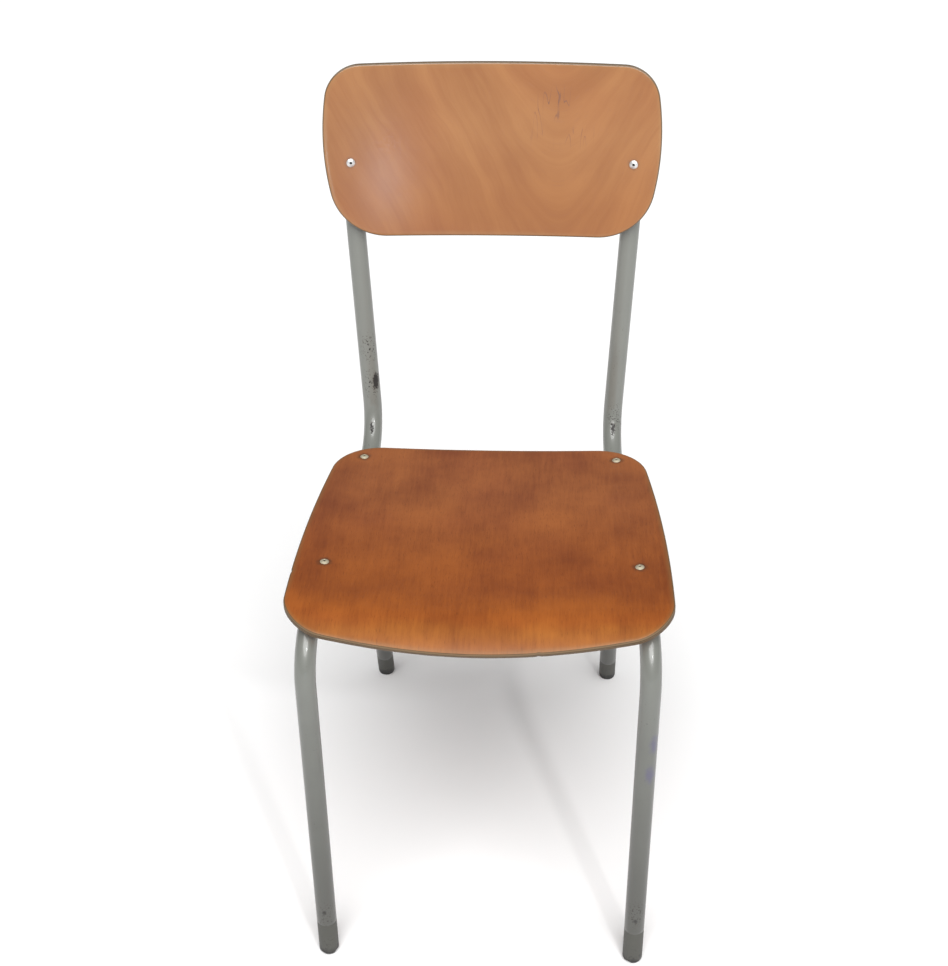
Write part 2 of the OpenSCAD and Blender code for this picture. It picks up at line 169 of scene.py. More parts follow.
class ChairBoardSizes(bpy.types.PropertyGroup):
    """Sizes of the plywood seat and backrest"""

    ply: length("Plywood", "Thickness of the plywood", 0.010)
    layers: IntProperty(name="Layers", description="Veneers in the plywood", default=7)
    edge_r: length("Edge radius", "Radius of the rounded edges", 0.0026)
    wood_gap: length("Wood gap", "Between the plywood and the tubes", 0.00005)
    seat_w: length("Seat width", "Largest width of the seat", 0.398)
    seat_depth: length("Seat depth", "Front edge to rear edge", 0.379)
    seat_widest: length("Seat widest", "From the front edge to the widest place", 0.070)
    seat_side_r: length("Seat side radius", "Side edges in plan", 1.9)
    seat_front_r: length("Seat front radius", "Front edge in plan", 1.0)
    seat_rear_r: length("Seat rear radius", "Rear edge in plan", 6.0)
    seat_front_corner_r: length("Seat front corners", "Radius in plan", 0.050)
    seat_rear_corner_r: length("Seat rear corners", "Radius in plan", 0.060)
    dish_r: length("Dish radius", "Shallow dish across the seat", 3.0)
    lip_r: length("Lip radius", "Bent front lip, on its top surface", 0.090)
    lip_angle: angle("Lip angle", "Turn of the bent front lip", 38)
    front_rivet: length("Front rivets", "From the front feet's axes", 0.121)
    rear_rivet: length("Rear rivets", "From the front feet's axes", 0.345)
    back_w: length("Backrest width", "Largest width of the backrest", 0.376)
    back_rise: length("Backrest rise", "Height above its rivets", 0.109)
    back_fall: length("Backrest fall", "Height below its rivets", 0.0865)
    back_widest: length("Backrest widest", "Widest place above its rivets", 0.027)
    back_side_r: length("Backrest side radius", "Side edges from the front", 0.300)
    back_edge_r: length("Backrest edge radius", "Top and bottom edges", 9.0)
    back_top_r: length("Backrest top corners", "Radius of the top corners", 0.040)
    back_bottom_r: length("Backrest bottom corners", "Radius of the bottom corners", 0.065)
    back_curve_r: length("Backrest curve", "Front face, seen from above", 0.900)
    back_rivet_h: length("Backrest rivets", "Height on the uprights' axes", 0.766)


class ChairRivetSizes(bpy.types.PropertyGroup):
    """Sizes of the blind rivets"""

    shank_d: length("Shank diameter", "Diameter of a rivet's shank", 0.0048)
    head_d: length("Head diameter", "Diameter of a rivet's head", 0.010)
    head_h: length("Head height", "Height of a rivet's head", 0.002)
    bore_d: length("Bore", "Hole down the middle of a rivet", 0.0028)
    bulge_d: length("Bulge diameter", "Bulge that grips inside the tube", 0.0072)
    bulge_len: length("Bulge length", "Length of that bulge", 0.004)


class ChairColours(bpy.types.PropertyGroup):
    """Colours and wear of the finishes"""

    paint: colour("Paint", "Grey paint of the tubes", (0.184, 0.190, 0.172))
    # Dark colour of the painted shade on the lower legs, also used for the burnt patches of the
    # welds.
    paint_shade_and_burn: colour("Paint shade and burn", "Painted shade on the lower legs and burn on the welds", (0.057, 0.056, 0.049))
    bare_steel: colour("Bare steel", "Steel where paint is lost", (0.024, 0.022, 0.020))
    rust: colour("Rust", "Rusty rim of a paint loss", (0.110, 0.085, 0.055))
    ink: colour("Ink", "Old ink smudges on a leg", (0.085, 0.078, 0.150))
    plastic: colour("Foot plastic", "Grey plastic of the feet", (0.067, 0.066, 0.057))
    scuff: colour("Scuff", "Black scuffs on the feet", (0.020, 0.019, 0.018))
    cap: colour("Cap plastic", "Plastic of the upright caps", (0.110, 0.110, 0.105))
    aluminium: colour("Aluminium", "Rivets of the backrest", (0.800, 0.800, 0.800))
    old_aluminium: colour("Worn aluminium", "Rivets of the seat", (0.500, 0.450, 0.330))
    stem: colour("Steel stem", "Broken mandrels and pins", (0.080, 0.075, 0.070))
    seat_light: colour("Seat light", "Pale streaks of the seat", (0.320, 0.106, 0.032))
    seat_dark: colour("Seat dark", "Dark streaks of the seat", (0.155, 0.041, 0.015))
    back_light: colour("Backrest light", "Pale figure", (0.385, 0.172, 0.058))
    back_dark: colour("Backrest dark", "Dark figure", (0.270, 0.102, 0.030))
    edge_light: colour("Edge light", "Pale veneers on the edge", (0.170, 0.110, 0.058))
    edge_dark: colour("Edge dark", "Dark veneers on the edge", (0.070, 0.042, 0.022))
    floor: colour("Floor", "Studio floor", (0.930, 0.930, 0.930))
    wear: share("Wear", "How worn the paint is", 0.5)


class ChairStage(bpy.types.PropertyGroup):
    """Camera, floor and lights"""

    place: point("Camera place", "Where the camera stands", (0.0705, -1.5396, 1.4022))
    turn: angle("Camera turn", "Turn to the left of straight ahead", 3.146)
    tilt: angle("Camera tilt", "Tilt below the horizon", 31.31)
    roll: angle("Camera roll", "Turn about the line of sight", 0.743)
    lens: number("Lens", "Focal length in mm on a 36 mm sensor", 60.29)
    floor_half: length("Floor", "Half the width of the floor", 40.0)
    floor_drop: length("Floor drop", "How far the floor lies under the feet", 0.0005)
    broad_power: number("Broad light", "Strength of the broad light", 3.75)
    broad_spread: angle("Broad light spread", "Angle that the broad light fills", 50)
    broad_from: point("Broad light from", "Where the broad light comes from", (0.05, -0.70, 1))
    key_place: point("Key light place", "Where the key light stands", (1.1, -3.0, 2.9))
    key_size: length("Key light size", "Side of the key light", 0.16)
    key_power: number("Key light", "Watts of the key light", 24)
    window_place: point("Window place", "Where the window stands", (0.42, -3.2, 0.365))
    window_size: length("Window size", "Side of the window", 0.15)
    window_power: number("Window light", "Watts of the window", 1.4)
    window_tone: colour("Window tone", "Colour of the window's light", (0.7, 0.9, 1.0))
    surround: share("Surround", "Strength of the white surroundings", 0.22)


GROUPS = {
    "chair_tubes": ChairTubeSizes,
    "chair_feet": ChairFootSizes,
    "chair_boards": ChairBoardSizes,
    "chair_rivets": ChairRivetSizes,
    "chair_colours": ChairColours,
    "chair_stage": ChairStage,
}


# ---- Points of the frame, on the right side ----


def on_line(p, q, amount):
    return p + (q - p) * amount


def at_y(p, q, y):
    return on_line(p, q, (y - p.y) / (q.y - p.y))


def at_z(p, q, z):
    return on_line(p, q, (z - p.z) / (q.z - p.z))


def mirrored(point, side):
    return Vector((side * point.x, point.y, point.z))


def frame_points(scene):
    """The corners of the tubes' axes. feet is the Y of the front feet's axes."""
    s = scene.chair_tubes
    feet = SEAT_FRONT_Y + s.overhang
    corner = Vector((s.front_span / 2, feet + s.rake, s.rail_h))
    rear = Vector((s.rear_span / 2, feet + s.rake + s.rail_len, s.rail_h - s.rail_drop))
    rise = s.top_h - rear.z
    top = rear + rise * Vector((math.tan(s.splay), math.tan(s.lean), 1))
    return SimpleNamespace(
        feet=feet,
        front_foot=Vector((s.foot_span / 2, feet, 0)),
        front_corner=corner,
        rear_corner=rear,
        upright_end=top,
        rear_foot=Vector((s.rear_foot_span / 2, feet + s.depth, 0)),
        rear_leg_end=at_y(corner, rear, feet + s.rear_leg_top),
        rail_dir=(rear - corner).normalized(),
        upright_dir=(top - rear).normalized(),
    )


def leg_lines(points):
    """Each leg's name, foot, top and which way its pin faces along Y."""
    return (
        ("front", points.front_foot, points.front_corner, -1),
        ("rear", points.rear_foot, points.rear_leg_end, 1),
    )


def seat_place(scene):
    """Where the dished seat lies on the rails, as the centre and axes of its dish."""
    p = frame_points(scene)
    s = scene.chair_boards
    tube_r = scene.chair_tubes.tube_d / 2
    middle = at_y(p.front_corner, p.rear_corner, p.feet + (s.front_rivet + s.rear_rivet) / 2)
    reach = s.dish_r + s.ply + s.wood_gap + tube_r
    turn = math.asin(middle.x / reach)
    rail = p.rail_dir
    slope = math.atan(-rail.z / rail.y) - math.atan(-rail.x / rail.y * math.tan(turn))
    up = Vector((0, math.sin(slope), math.cos(slope)))
    back = Vector((0, math.cos(slope), -math.sin(slope)))
    centre = Vector((0, middle.y, middle.z)) + up * reach * math.cos(turn)
    front = SEAT_FRONT_Y - middle.y
    return SimpleNamespace(up=up, back=back, centre=centre, front=front, middle_y=middle.y)


def back_place(scene):
    """Where the curved backrest lies on the uprights, as the centre and axes of its ring."""
    p = frame_points(scene)
    s = scene.chair_boards
    hold = at_z(p.rear_corner, p.upright_end, s.back_rivet_h)
    reach = s.back_curve_r + s.ply + s.wood_gap + scene.chair_tubes.tube_d / 2
    turn = math.asin(hold.x / reach)
    d = p.upright_dir
    lean = math.atan2(d.y, d.z) + math.asin(d.x * math.tan(turn) / math.hypot(d.y, d.z))
    forward = Vector((0, -math.cos(lean), math.sin(lean)))
    up = Vector((0, math.sin(lean), math.cos(lean)))
    centre = Vector((0, hold.y, hold.z)) + forward * reach * math.cos(turn)
    return SimpleNamespace(up=up, forward=forward, centre=centre, hold=hold)


# ---- Node trees ----


class Nodes:
    """A node tree being built. Inputs take a value or another node's output."""

    def __init__(self, tree):
        self.tree = tree

    def feed(self, socket, value):
        if isinstance(value, bpy.types.NodeSocket):
            self.tree.links.new(value, socket)
        else:
            socket.default_value = value

    def add(self, kind, inputs=None, **settings):
        node = self.tree.nodes.new(kind)
        for key, value in settings.items():
            setattr(node, key, value)
        for key, value in (inputs or {}).items():
            self.feed(node.inputs[key], value)
        return node

    def math(self, operation, a, b=0.0, c=0.0):
        inputs = {0: a, 1: b}
        if operation == "MULTIPLY_ADD":
            inputs[2] = c
        return self.add("ShaderNodeMath", inputs, operation=operation).outputs[0]

    def vector(self, operation, a, b=(0, 0, 0)):
        node = self.add("ShaderNodeVectorMath", {0: a, 1: b}, operation=operation)
        return node.outputs["Value" if operation == "LENGTH" else "Vector"]

    def split(self, vector):
        return self.add("ShaderNodeSeparateXYZ", {0: vector}).outputs

    def joined(self, x, y, z):
        return self.add("ShaderNodeCombineXYZ", {0: x, 1: y, 2: z}).outputs[0]

    def noise(self, vector, scale, detail=2.0, roughness=0.5, distortion=0.0):
        inputs = {
            "Vector": vector,
            "Scale": scale,
            "Detail": detail,
            "Roughness": roughness,
            "Distortion": distortion,
        }
        return self.add("ShaderNodeTexNoise", inputs).outputs[0]

    def step(self, value, low, high):
        """0 below low, 1 above high and smooth between; the other way round if low > high."""
        inputs = {"Value": value, "From Min": low, "From Max": high}
        settings = {"interpolation_type": "SMOOTHSTEP"}
        return self.add("ShaderNodeMapRange", inputs, **settings).outputs[0]

    def mix(self, amount, a, b, blend="MIX"):
        node = self.add("ShaderNodeMix", data_type="RGBA", blend_type=blend)
        self.feed(node.inputs[0], amount)
        for socket, value in ((node.inputs[6], a), (node.inputs[7], b)):
            is_colour = not isinstance(value, bpy.types.NodeSocket) and len(value) == 3
            self.feed(socket, (*value, 1) if is_colour else value)
        return node.outputs[2]


KINDS = {"value": "NodeSocketFloat", "vector": "NodeSocketVector", "colour": "NodeSocketColor"}


def shader_group(name, inputs, outputs, build):
    """The shader node group of that name, built once. inputs is {name: (kind, default)}."""
    if name in bpy.data.node_groups:
        return bpy.data.node_groups[name]
    tree = bpy.data.node_groups.new(name, "ShaderNodeTree")
    for key, (kind, default) in inputs.items():
        socket = tree.interface.new_socket(key, in_out="INPUT", socket_type=KINDS[kind])
        socket.default_value = default
    for key, kind in outputs.items():
        tree.interface.new_socket(key, in_out="OUTPUT", socket_type=KINDS[kind])
    nodes = Nodes(tree)
    given = tree.nodes.new("NodeGroupInput").outputs
    result = tree.nodes.new("NodeGroupOutput")
    for key, value in build(nodes, given).items():
        nodes.feed(result.inputs[key], value)
    return tree


def grouped(nodes, group, **inputs):
    """Places a shader node group and returns its outputs. Underscores stand for spaces."""
    node = nodes.add("ShaderNodeGroup", node_tree=group)
    for key, value in inputs.items():
        nodes.feed(node.inputs[key.replace("_", " ")], value)
    return node.outputs


def patch_group():
    """A soft-edged oval patch with a ragged outline, for stains, chips and smudges."""

    def build(n, given):
        away = n.vector("SUBTRACT", given["Vector"], given["Centre"])
        away = n.vector("DIVIDE", away, given["Size"])
        ragged = n.noise(given["Vector"], given["Grain"], 4.0, 0.6)
        ragged = n.math("MULTIPLY", n.math("SUBTRACT", ragged, 0.5), given["Ragged"])
        distance = n.math("ADD", n.vector("LENGTH", away), ragged)
        return {"Mask": n.step(distance, 1.0, n.math("SUBTRACT", 1.0, given["Softness"]))}

    inputs = {
        "Vector": ("vector", (0, 0, 0)),
        "Centre": ("vector", (0, 0, 0)),
        "Size": ("vector", (0.01, 0.01, 0.01)),
        "Grain": ("value", 300.0),
        "Ragged": ("value", 1.0),
        "Softness": ("value", 0.2),
    }
    return shader_group("Patch", inputs, {"Mask": "value"}, build)


def patch(nodes, place, centre, size, **values):
    """The mask of one patch. values are the group's Grain, Ragged and Softness."""
    group = patch_group()
    return grouped(nodes, group, Vector=place, Centre=centre, Size=size, **values)["Mask"]


def grain_group():
    """Wood grain across X: broad bands, fine lines, short flecks and the height they give."""

    def build(n, given):
        along = n.vector("MULTIPLY", given["Vector"], (1.0, 0.09, 0.09))
        drift = n.noise(given["Vector"], 9.0, 2.0)
        drift = n.math("MULTIPLY", n.math("SUBTRACT", drift, 0.5), given["Waviness"])
        warped = n.vector("ADD", along, n.joined(drift, 0.0, 0.0))
        bands = n.noise(warped, given["Band Scale"], 3.0, 0.55, 0.3)
        lines = n.noise(warped, given["Line Scale"], 4.0, 0.7)
        flecks = n.step(n.noise(warped, 1400.0, 1.0), 0.60, 0.74)
        height = n.math("MULTIPLY_ADD", flecks, -0.6, lines)
        return {"Bands": bands, "Lines": lines, "Flecks": flecks, "Height": height}

    inputs = {
        "Vector": ("vector", (0, 0, 0)),
        "Waviness": ("value", 0.01),
        "Band Scale": ("value", 40.0),
        "Line Scale": ("value", 420.0),
    }
    outputs = {"Bands": "value", "Lines": "value", "Flecks": "value", "Height": "value"}
    return shader_group("Wood grain", inputs, outputs, build)


def arch_group():
    """Turns straight grain into the nested arches of a flat-cut veneer."""

    def build(n, given):
        x, y, z = n.split(given["Vector"])
        off = n.math("SUBTRACT", x, given["Centre"])
        squared = n.math("MULTIPLY_ADD", off, off, n.math("POWER", given["Width"], 2.0))
        arm = n.math("SQRT", squared)
        across = n.math("MULTIPLY_ADD", z, given["Slope"], arm)
        return {"Vector": n.joined(across, y, z)}

    inputs = {
        "Vector": ("vector", (0, 0, 0)),
        "Centre": ("value", 0.0),
        "Width": ("value", 0.03),
        "Slope": ("value", -0.4),
    }
    return shader_group("Veneer arches", inputs, {"Vector": "vector"}, build)


def veneer_edge_group():
    """The cut veneers on a board's edge, from the depth below its face."""

    def build(n, given):
        rows = n.math("MULTIPLY", given["Depth"], given["Layers"])
        wobble = n.noise(given["Vector"], 60.0, 2.0)
        rows = n.math("MULTIPLY_ADD", wobble, 0.25, rows)
        wave = n.math("PINGPONG", rows, 1.0)
        fibres = n.noise(given["Vector"], 900.0, 3.0, 0.7)
        band = n.step(n.math("MULTIPLY_ADD", fibres, 0.35, wave), 0.45, 0.85)
        return {"Band": band, "Fibres": fibres}

    inputs = {
        "Vector": ("vector", (0, 0, 0)),
        "Depth": ("value", 0.0),
        "Layers": ("value", 7.0),
    }
    return shader_group("Veneer edge", inputs, {"Band": "value", "Fibres": "value"}, build)


def scratch_group():
    """Fine scratches that wander about one way, in loose bundles."""

    def build(n, given):
        turned = n.add(
            "ShaderNodeMapping",
            {"Vector": given["Vector"], "Rotation": given["Turn"], "Scale": (1.0, 0.12, 0.12)},
        ).outputs[0]
        hair = n.noise(turned, given["Scale"], 1.0, 0.4, 0.4)
        hair = n.math("ABSOLUTE", n.math("SUBTRACT", hair, 0.5))
        hair = n.step(hair, given["Thickness"], 0.0)
        bundle = n.step(n.noise(given["Vector"], 28.0, 2.0), 0.42, 0.60)
        return {"Mask": n.math("MULTIPLY", hair, bundle)}

    inputs = {
        "Vector": ("vector", (0, 0, 0)),
        "Turn": ("vector", (0, 0, 0)),
        "Scale": ("value", 130.0),
        "Thickness": ("value", 0.022),
    }
    return shader_group("Scratches", inputs, {"Mask": "value"}, build)


def new_material(name):
    """A material with its tree, its Principled shader and Object coordinates."""
    material = bpy.data.materials.new(name)
    material.use_nodes = True
    tree = material.node_tree
    shader = next(n for n in tree.nodes if n.type == "BSDF_PRINCIPLED")
    nodes = Nodes(tree)
    place = nodes.add("ShaderNodeTexCoord").outputs["Object"]
    return material, nodes, shader, place


def bump(nodes, shader, height, strength, distance):
    inputs = {"Height": height, "Strength": strength, "Distance": distance}
    node = nodes.add("ShaderNodeBump", inputs)
    nodes.feed(shader.inputs["Normal"], node.outputs[0])


def attribute(nodes, name):
    return nodes.add("ShaderNodeAttribute", attribute_name=name).outputs["Fac"]


def wood_body(nodes, shader, place, look):
    """The parts that seat and backrest share: grain, stains, a painted highlight along the edges,
    edge veneers and varnish.
    """
    n = nodes
    grain = grouped(
        n,
        grain_group(),
        Vector=look.grain_place,
        Waviness=look.waviness,
        Band_Scale=look.band_scale,
        Line_Scale=look.line_scale,
    )
    cloud = n.noise(place, look.cloud_scale, 3.0, 0.55)
    tone = n.math("MULTIPLY_ADD", grain["Bands"], look.band_share, look.tone_start)
    tone = n.math("MULTIPLY_ADD", grain["Lines"], look.line_share, tone)
    tone = n.math("MULTIPLY_ADD", cloud, look.cloud_share, tone)
    face = n.mix(n.step(tone, 0.0, 1.0), look.dark, look.light)
    shade = n.noise(place, look.cloud_scale * 0.6, 2.0)
    face = n.mix(n.step(shade, 0.45, 0.75), face, look.tint, "MULTIPLY")
    face = n.mix(n.math("MULTIPLY", grain["Flecks"], look.fleck_share), face, look.fleck)
    for mask, tint in look.tints:
        face = n.mix(mask, face, tint, "MULTIPLY")
    for mask, stain in look.stains:
        face = n.mix(mask, face, stain)
    rim = attribute(n, "rim")
    depth = attribute(n, "depth")
    # Painted highlight: a paler band along the boards' rounded edges, standing in for the light on
    # them.
    handled = n.step(n.math("MULTIPLY_ADD", cloud, 0.006, rim), 0.010, 0.002)
    face = n.mix(n.math("MULTIPLY", handled, 0.45), face, look.handled)
    edge = grouped(n, veneer_edge_group(), Vector=place, Depth=depth, Layers=look.layers)
    cut = n.mix(edge["Band"], look.edge_dark, look.edge_light)
    on_edge = n.step(rim, 0.0022, 0.0008)
    worn = n.math("MULTIPLY_ADD", edge["Fibres"], 0.5, on_edge)
    on_edge = n.step(worn, 0.55, 0.95)
    n.feed(shader.inputs["Base Color"], n.mix(on_edge, face, cut))
    rough = n.math("MULTIPLY_ADD", cloud, 0.14, look.roughness)
    rough = n.math("MULTIPLY_ADD", on_edge, 0.25, rough)
    n.feed(shader.inputs["Roughness"], rough)
    height = n.math("MULTIPLY_ADD", edge["Band"], on_edge, grain["Height"])
    for mask in look.dents:
        height = n.math("MULTIPLY_ADD", mask, -2.5, height)
    bump(n, shader, height, look.bump, 0.0004)
    shader.inputs["Coat Weight"].default_value = look.coat
    shader.inputs["Coat Roughness"].default_value = look.coat_roughness
    shader.inputs["Specular IOR Level"].default_value = look.gloss


def board_look(scene, **values):
    """A board's finish: the values given, those of both boards, and lists of masks to fill."""
    c = scene.chair_colours
    return SimpleNamespace(
        edge_light=tuple(c.edge_light),
        edge_dark=tuple(c.edge_dark),
        layers=scene.chair_boards.layers / scene.chair_boards.ply,
        tints=[],
        stains=[],
        dents=[],
        **values,
    )


def rivet_stains(nodes, place, spots, halo, look):
    """A dark ring of dirt in the wood round each rivet."""
    for spot in spots:
        size = (halo, halo, halo)
        mask = patch(nodes, place, spot, size, Grain=220.0, Ragged=0.7, Softness=0.65)
        mask = nodes.math("MULTIPLY", mask, look.halo_share)
        look.stains.append((mask, look.halo))


def seat_wood(scene):
    """Dark varnish, warmer towards the front, with a painted sheen that makes the bent front lip
    paler.
    """
    c = scene.chair_colours
    material, n, shader, place = new_material("Seat varnish")
    look = board_look(
        scene,
        grain_place=place,
        waviness=0.006,
        band_scale=26.0,
        line_scale=300.0,
        cloud_scale=13.0,
        band_share=0.55,
        line_share=0.50,
        cloud_share=1.10,
        tone_start=-0.53,
        dark=tuple(c.seat_dark),
        light=tuple(c.seat_light),
        tint=(0.86, 0.80, 0.90),
        fleck=(0.10, 0.03, 0.012),
        fleck_share=0.35,
        # Colour of the painted highlight along the rounded edges.
        handled=(0.20, 0.13, 0.05),
        roughness=0.42,
        gloss=0.25,
        coat_roughness=0.25,
        coat=0.10,
        bump=0.22,
        halo=(0.06, 0.028, 0.014),
        halo_share=0.75,
    )
    _x, y, _z = n.split(place)
    wobble = 0.03
    uneven = n.math("MULTIPLY_ADD", n.noise(place, 16.0, 3.0), wobble, y)
    front = SEAT_FRONT_Y + wobble / 2
    warm = n.step(uneven, front + 0.30, front + 0.08)
    # Painted highlight: the front lip and its bend are tinted paler, standing in for the sheen of
    # light on them.
    bend_sheen = n.step(uneven, front + 0.085, front + 0.055)
    lip_sheen = n.step(uneven, front + 0.040, front + 0.020)
    look.tints += [
        (warm, (1.02, 0.86, 0.50)),
        (bend_sheen, (1.12, 1.12, 0.95)),
        (lip_sheen, (1.05, 1.24, 1.20)),
    ]
    spots = [spot for spot, _aim in seat_rivet_places(scene)]
    rivet_stains(n, place, spots, 0.0105, look)
    wood_body(n, shader, place, look)
    return material


def back_wood(scene):
    """Paler, glossier varnish over an arched figure, with a few scratches."""
    c = scene.chair_colours
    material, n, shader, place = new_material("Backrest varnish")
    low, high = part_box("backrest_shell")
    centred = n.vector("SUBTRACT", place, (0.0, 0.0, low.z))
    arched = grouped(n, arch_group(), Vector=centred, Centre=0.075, Width=0.045, Slope=-0.42)
    look = board_look(
        scene,
        grain_place=arched["Vector"],
        waviness=0.045,
        band_scale=44.0,
        line_scale=260.0,
        cloud_scale=9.0,
        band_share=1.05,
        line_share=0.40,
        cloud_share=0.75,
        tone_start=-0.60,
        dark=tuple(c.back_dark),
        light=tuple(c.back_light),
        tint=(0.97, 0.88, 0.84),
        fleck=(0.30, 0.13, 0.06),
        fleck_share=0.30,
        # Colour of the painted highlight along the rounded edges.
        handled=(0.34, 0.20, 0.09),
        roughness=0.34,
        gloss=0.35,
        coat_roughness=0.15,
        coat=0.60,
        bump=0.10,
        halo=(0.12, 0.07, 0.05),
        halo_share=0.6,
    )
    _x, _y, z = n.split(place)
    low_part = n.step(z, low.z + 0.130, low.z + 0.020)
    look.tints.append((low_part, (0.94, 0.84, 0.68)))
    spots = [spot for spot, _aim in back_rivet_places(scene)]
    rivet_stains(n, place, spots, 0.0085, look)
    worn = (0.085, low.y, high.z - 0.055)
    reach = (0.065, 0.1, 0.045)
    scratched = patch(n, place, worn, reach, Grain=40.0, Ragged=0.8, Softness=0.4)
    hairs = grouped(n, scratch_group(), Vector=place, Turn=(0.0, math.radians(12), 0.0))
    mask = n.math("MULTIPLY", hairs["Mask"], scratched)
    look.stains.append((mask, (0.18, 0.08, 0.05)))
    look.dents.append(mask)
    wood_body(n, shader, place, look)
    return material


# ---- Metal, paint and plastic ----


def shaded(tone, amount):
    """A lighter or darker version of a colour."""
    return tuple(min(1, v * amount) for v in tone)


def tube_front(p, q, z, side, across, tube_r):
    """A place on the front of a leaning tube, a share of its radius to the right."""
    axis = mirrored(at_z(p, q, z), side)
    return axis + Vector((across * tube_r, -math.sqrt(1 - across * across) * tube_r, 0))


def paint_losses(scene):
    """Places on the uprights where the paint is gone: centre and half height."""
    p = frame_points(scene)
    tube_r = scene.chair_tubes.tube_d / 2
    losses = []
    for z, side, across, tall in (
        (0.503, -1, 0.66, 0.012),
        (0.448, -1, -0.10, 0.0085),
        (0.449, 1, 0.10, 0.010),
    ):
        spot = tube_front(p.rear_corner, p.upright_end, z, side, across, tube_r)
        losses.append((spot, tall))
    return losses


def chipped_places(scene):
    """Places where small chips are many: on the uprights and above the feet."""
    p = frame_points(scene)
    tube_r = scene.chair_tubes.tube_d / 2
    upright = (p.rear_corner, p.upright_end)
    leg = (p.front_foot, p.front_corner)
    return [
        tube_front(*line, z, side, across, tube_r)
        for line, z, side, across in (
            (upright, 0.545, -1, 0.35),
            (upright, 0.500, -1, 0.20),
            (upright, 0.460, 1, 0.30),
            (leg, 0.060, -1, 0.20),
            (leg, 0.075, 1, 0.00),
        )
    ]


def ink_smudges(scene):
    """Places of the ink smudges on the right front leg."""
    p = frame_points(scene)
    tube_r = scene.chair_tubes.tube_d / 2
    return [
        tube_front(p.front_foot, p.front_corner, z, 1, across, tube_r)
        for z, across in ((0.310, 0.62), (0.272, 0.42))
    ]


def paint_damage(n, place, scene):
    """Masks of the bare steel and of the rust round it."""
    speck = n.step(n.noise(place, 420.0, 3.0, 0.65), 0.64, 0.72)
    speck = n.math("MULTIPLY", speck, n.step(n.noise(place, 22.0, 2.0), 0.45, 0.70))
    lost = n.math("MULTIPLY", speck, scene.chair_colours.wear)
    chips = n.step(n.noise(place, 520.0, 2.0, 0.6), 0.57, 0.64)
    for spot in chipped_places(scene):
        zone = patch(n, place, spot, (0.014, 0.014, 0.026), Softness=0.8)
        lost = n.math("MAXIMUM", lost, n.math("MULTIPLY", chips, zone))
    rusty = lost
    outline = {"Grain": 420.0, "Ragged": 1.7}
    for spot, tall in paint_losses(scene):
        wide = patch(n, place, spot, (0.0042, 0.016, tall * 1.3), Softness=0.6, **outline)
        core = patch(n, place, spot, (0.0034, 0.016, tall), Softness=0.30, **outline)
        rusty = n.math("MAXIMUM", rusty, wide)
        lost = n.math("MAXIMUM", lost, core)
    return lost, rusty


def paint_marks(n, place, base, scene):
    """The paint's colour with ink smudges on it and grime round the pins."""
    c = scene.chair_colours
    smudge = (0.008, 0.016, 0.017)
    for spot in ink_smudges(scene):
        ink = patch(n, place, spot, smudge, Grain=180.0, Ragged=1.0, Softness=0.9)
        base = n.mix(n.math("MULTIPLY", ink, 0.7), base, tuple(c.ink))
    for spot, _out in pin_places(scene):
        grime = patch(n, place, spot, (0.0034, 0.0034, 0.0042), Softness=0.6)
        base = n.mix(n.math("MULTIPLY", grime, 0.8), base, tuple(c.scuff))
    return base


def grey_paint(scene):
    """Glossy paint, darkened towards the floor as painted shade, with chips, losses and marks."""
    c = scene.chair_colours
    material, n, shader, place = new_material("Grey frame paint")
    _x, _y, z = n.split(place)
    drift = n.noise(place, 14.0, 3.0, 0.6)
    base = n.mix(drift, shaded(c.paint, 0.92), shaded(c.paint, 1.10))
    # Painted shade: the paint is darkened towards the floor, standing in for the shade on the lower
    # legs.
    low = n.step(n.math("MULTIPLY_ADD", drift, 0.10, z), 0.62, 0.06)
    base = n.mix(n.math("MULTIPLY", low, 0.92), base, tuple(c.paint_shade_and_burn))
    lost, rusty = paint_damage(n, place, scene)
    base = paint_marks(n, place, base, scene)
    base = n.mix(n.math("MULTIPLY", rusty, 0.55), base, tuple(c.rust))
    base = n.mix(lost, base, tuple(c.bare_steel))
    n.feed(shader.inputs["Base Color"], base)
    peel = n.noise(place, 700.0, 2.0, 0.5)
    rough = n.math("MULTIPLY_ADD", drift, 0.12, 0.25)
    rough = n.math("MULTIPLY_ADD", low, 0.15, rough)
    n.feed(shader.inputs["Roughness"], n.math("MULTIPLY_ADD", lost, 0.35, rough))
    bump(n, shader, n.math("MULTIPLY_ADD", lost, -2.0, peel), 0.12, 0.0003)
    shader.inputs["Specular IOR Level"].default_value = 0.5
    coat = 0.4
    n.feed(shader.inputs["Coat Weight"], n.math("MULTIPLY_ADD", lost, -coat, coat))
    shader.inputs["Coat Roughness"].default_value = 0.10
    return material


def weld_paint(scene):
    """The frame's paint where welding has burnt and dirtied it."""
    c = scene.chair_colours
    material, n, shader, place = new_material("Painted weld")
    burnt = n.noise(place, 160.0, 4.0, 0.65)
    base = n.mix(n.step(burnt, 0.40, 0.72), tuple(c.paint), tuple(c.paint_shade_and_burn))
    n.feed(shader.inputs["Base Color"], base)
    n.feed(shader.inputs["Roughness"], n.math("MULTIPLY_ADD", burnt, 0.3, 0.35))
    bump(n, shader, n.noise(place, 900.0, 3.0), 0.4, 0.0004)
    return material


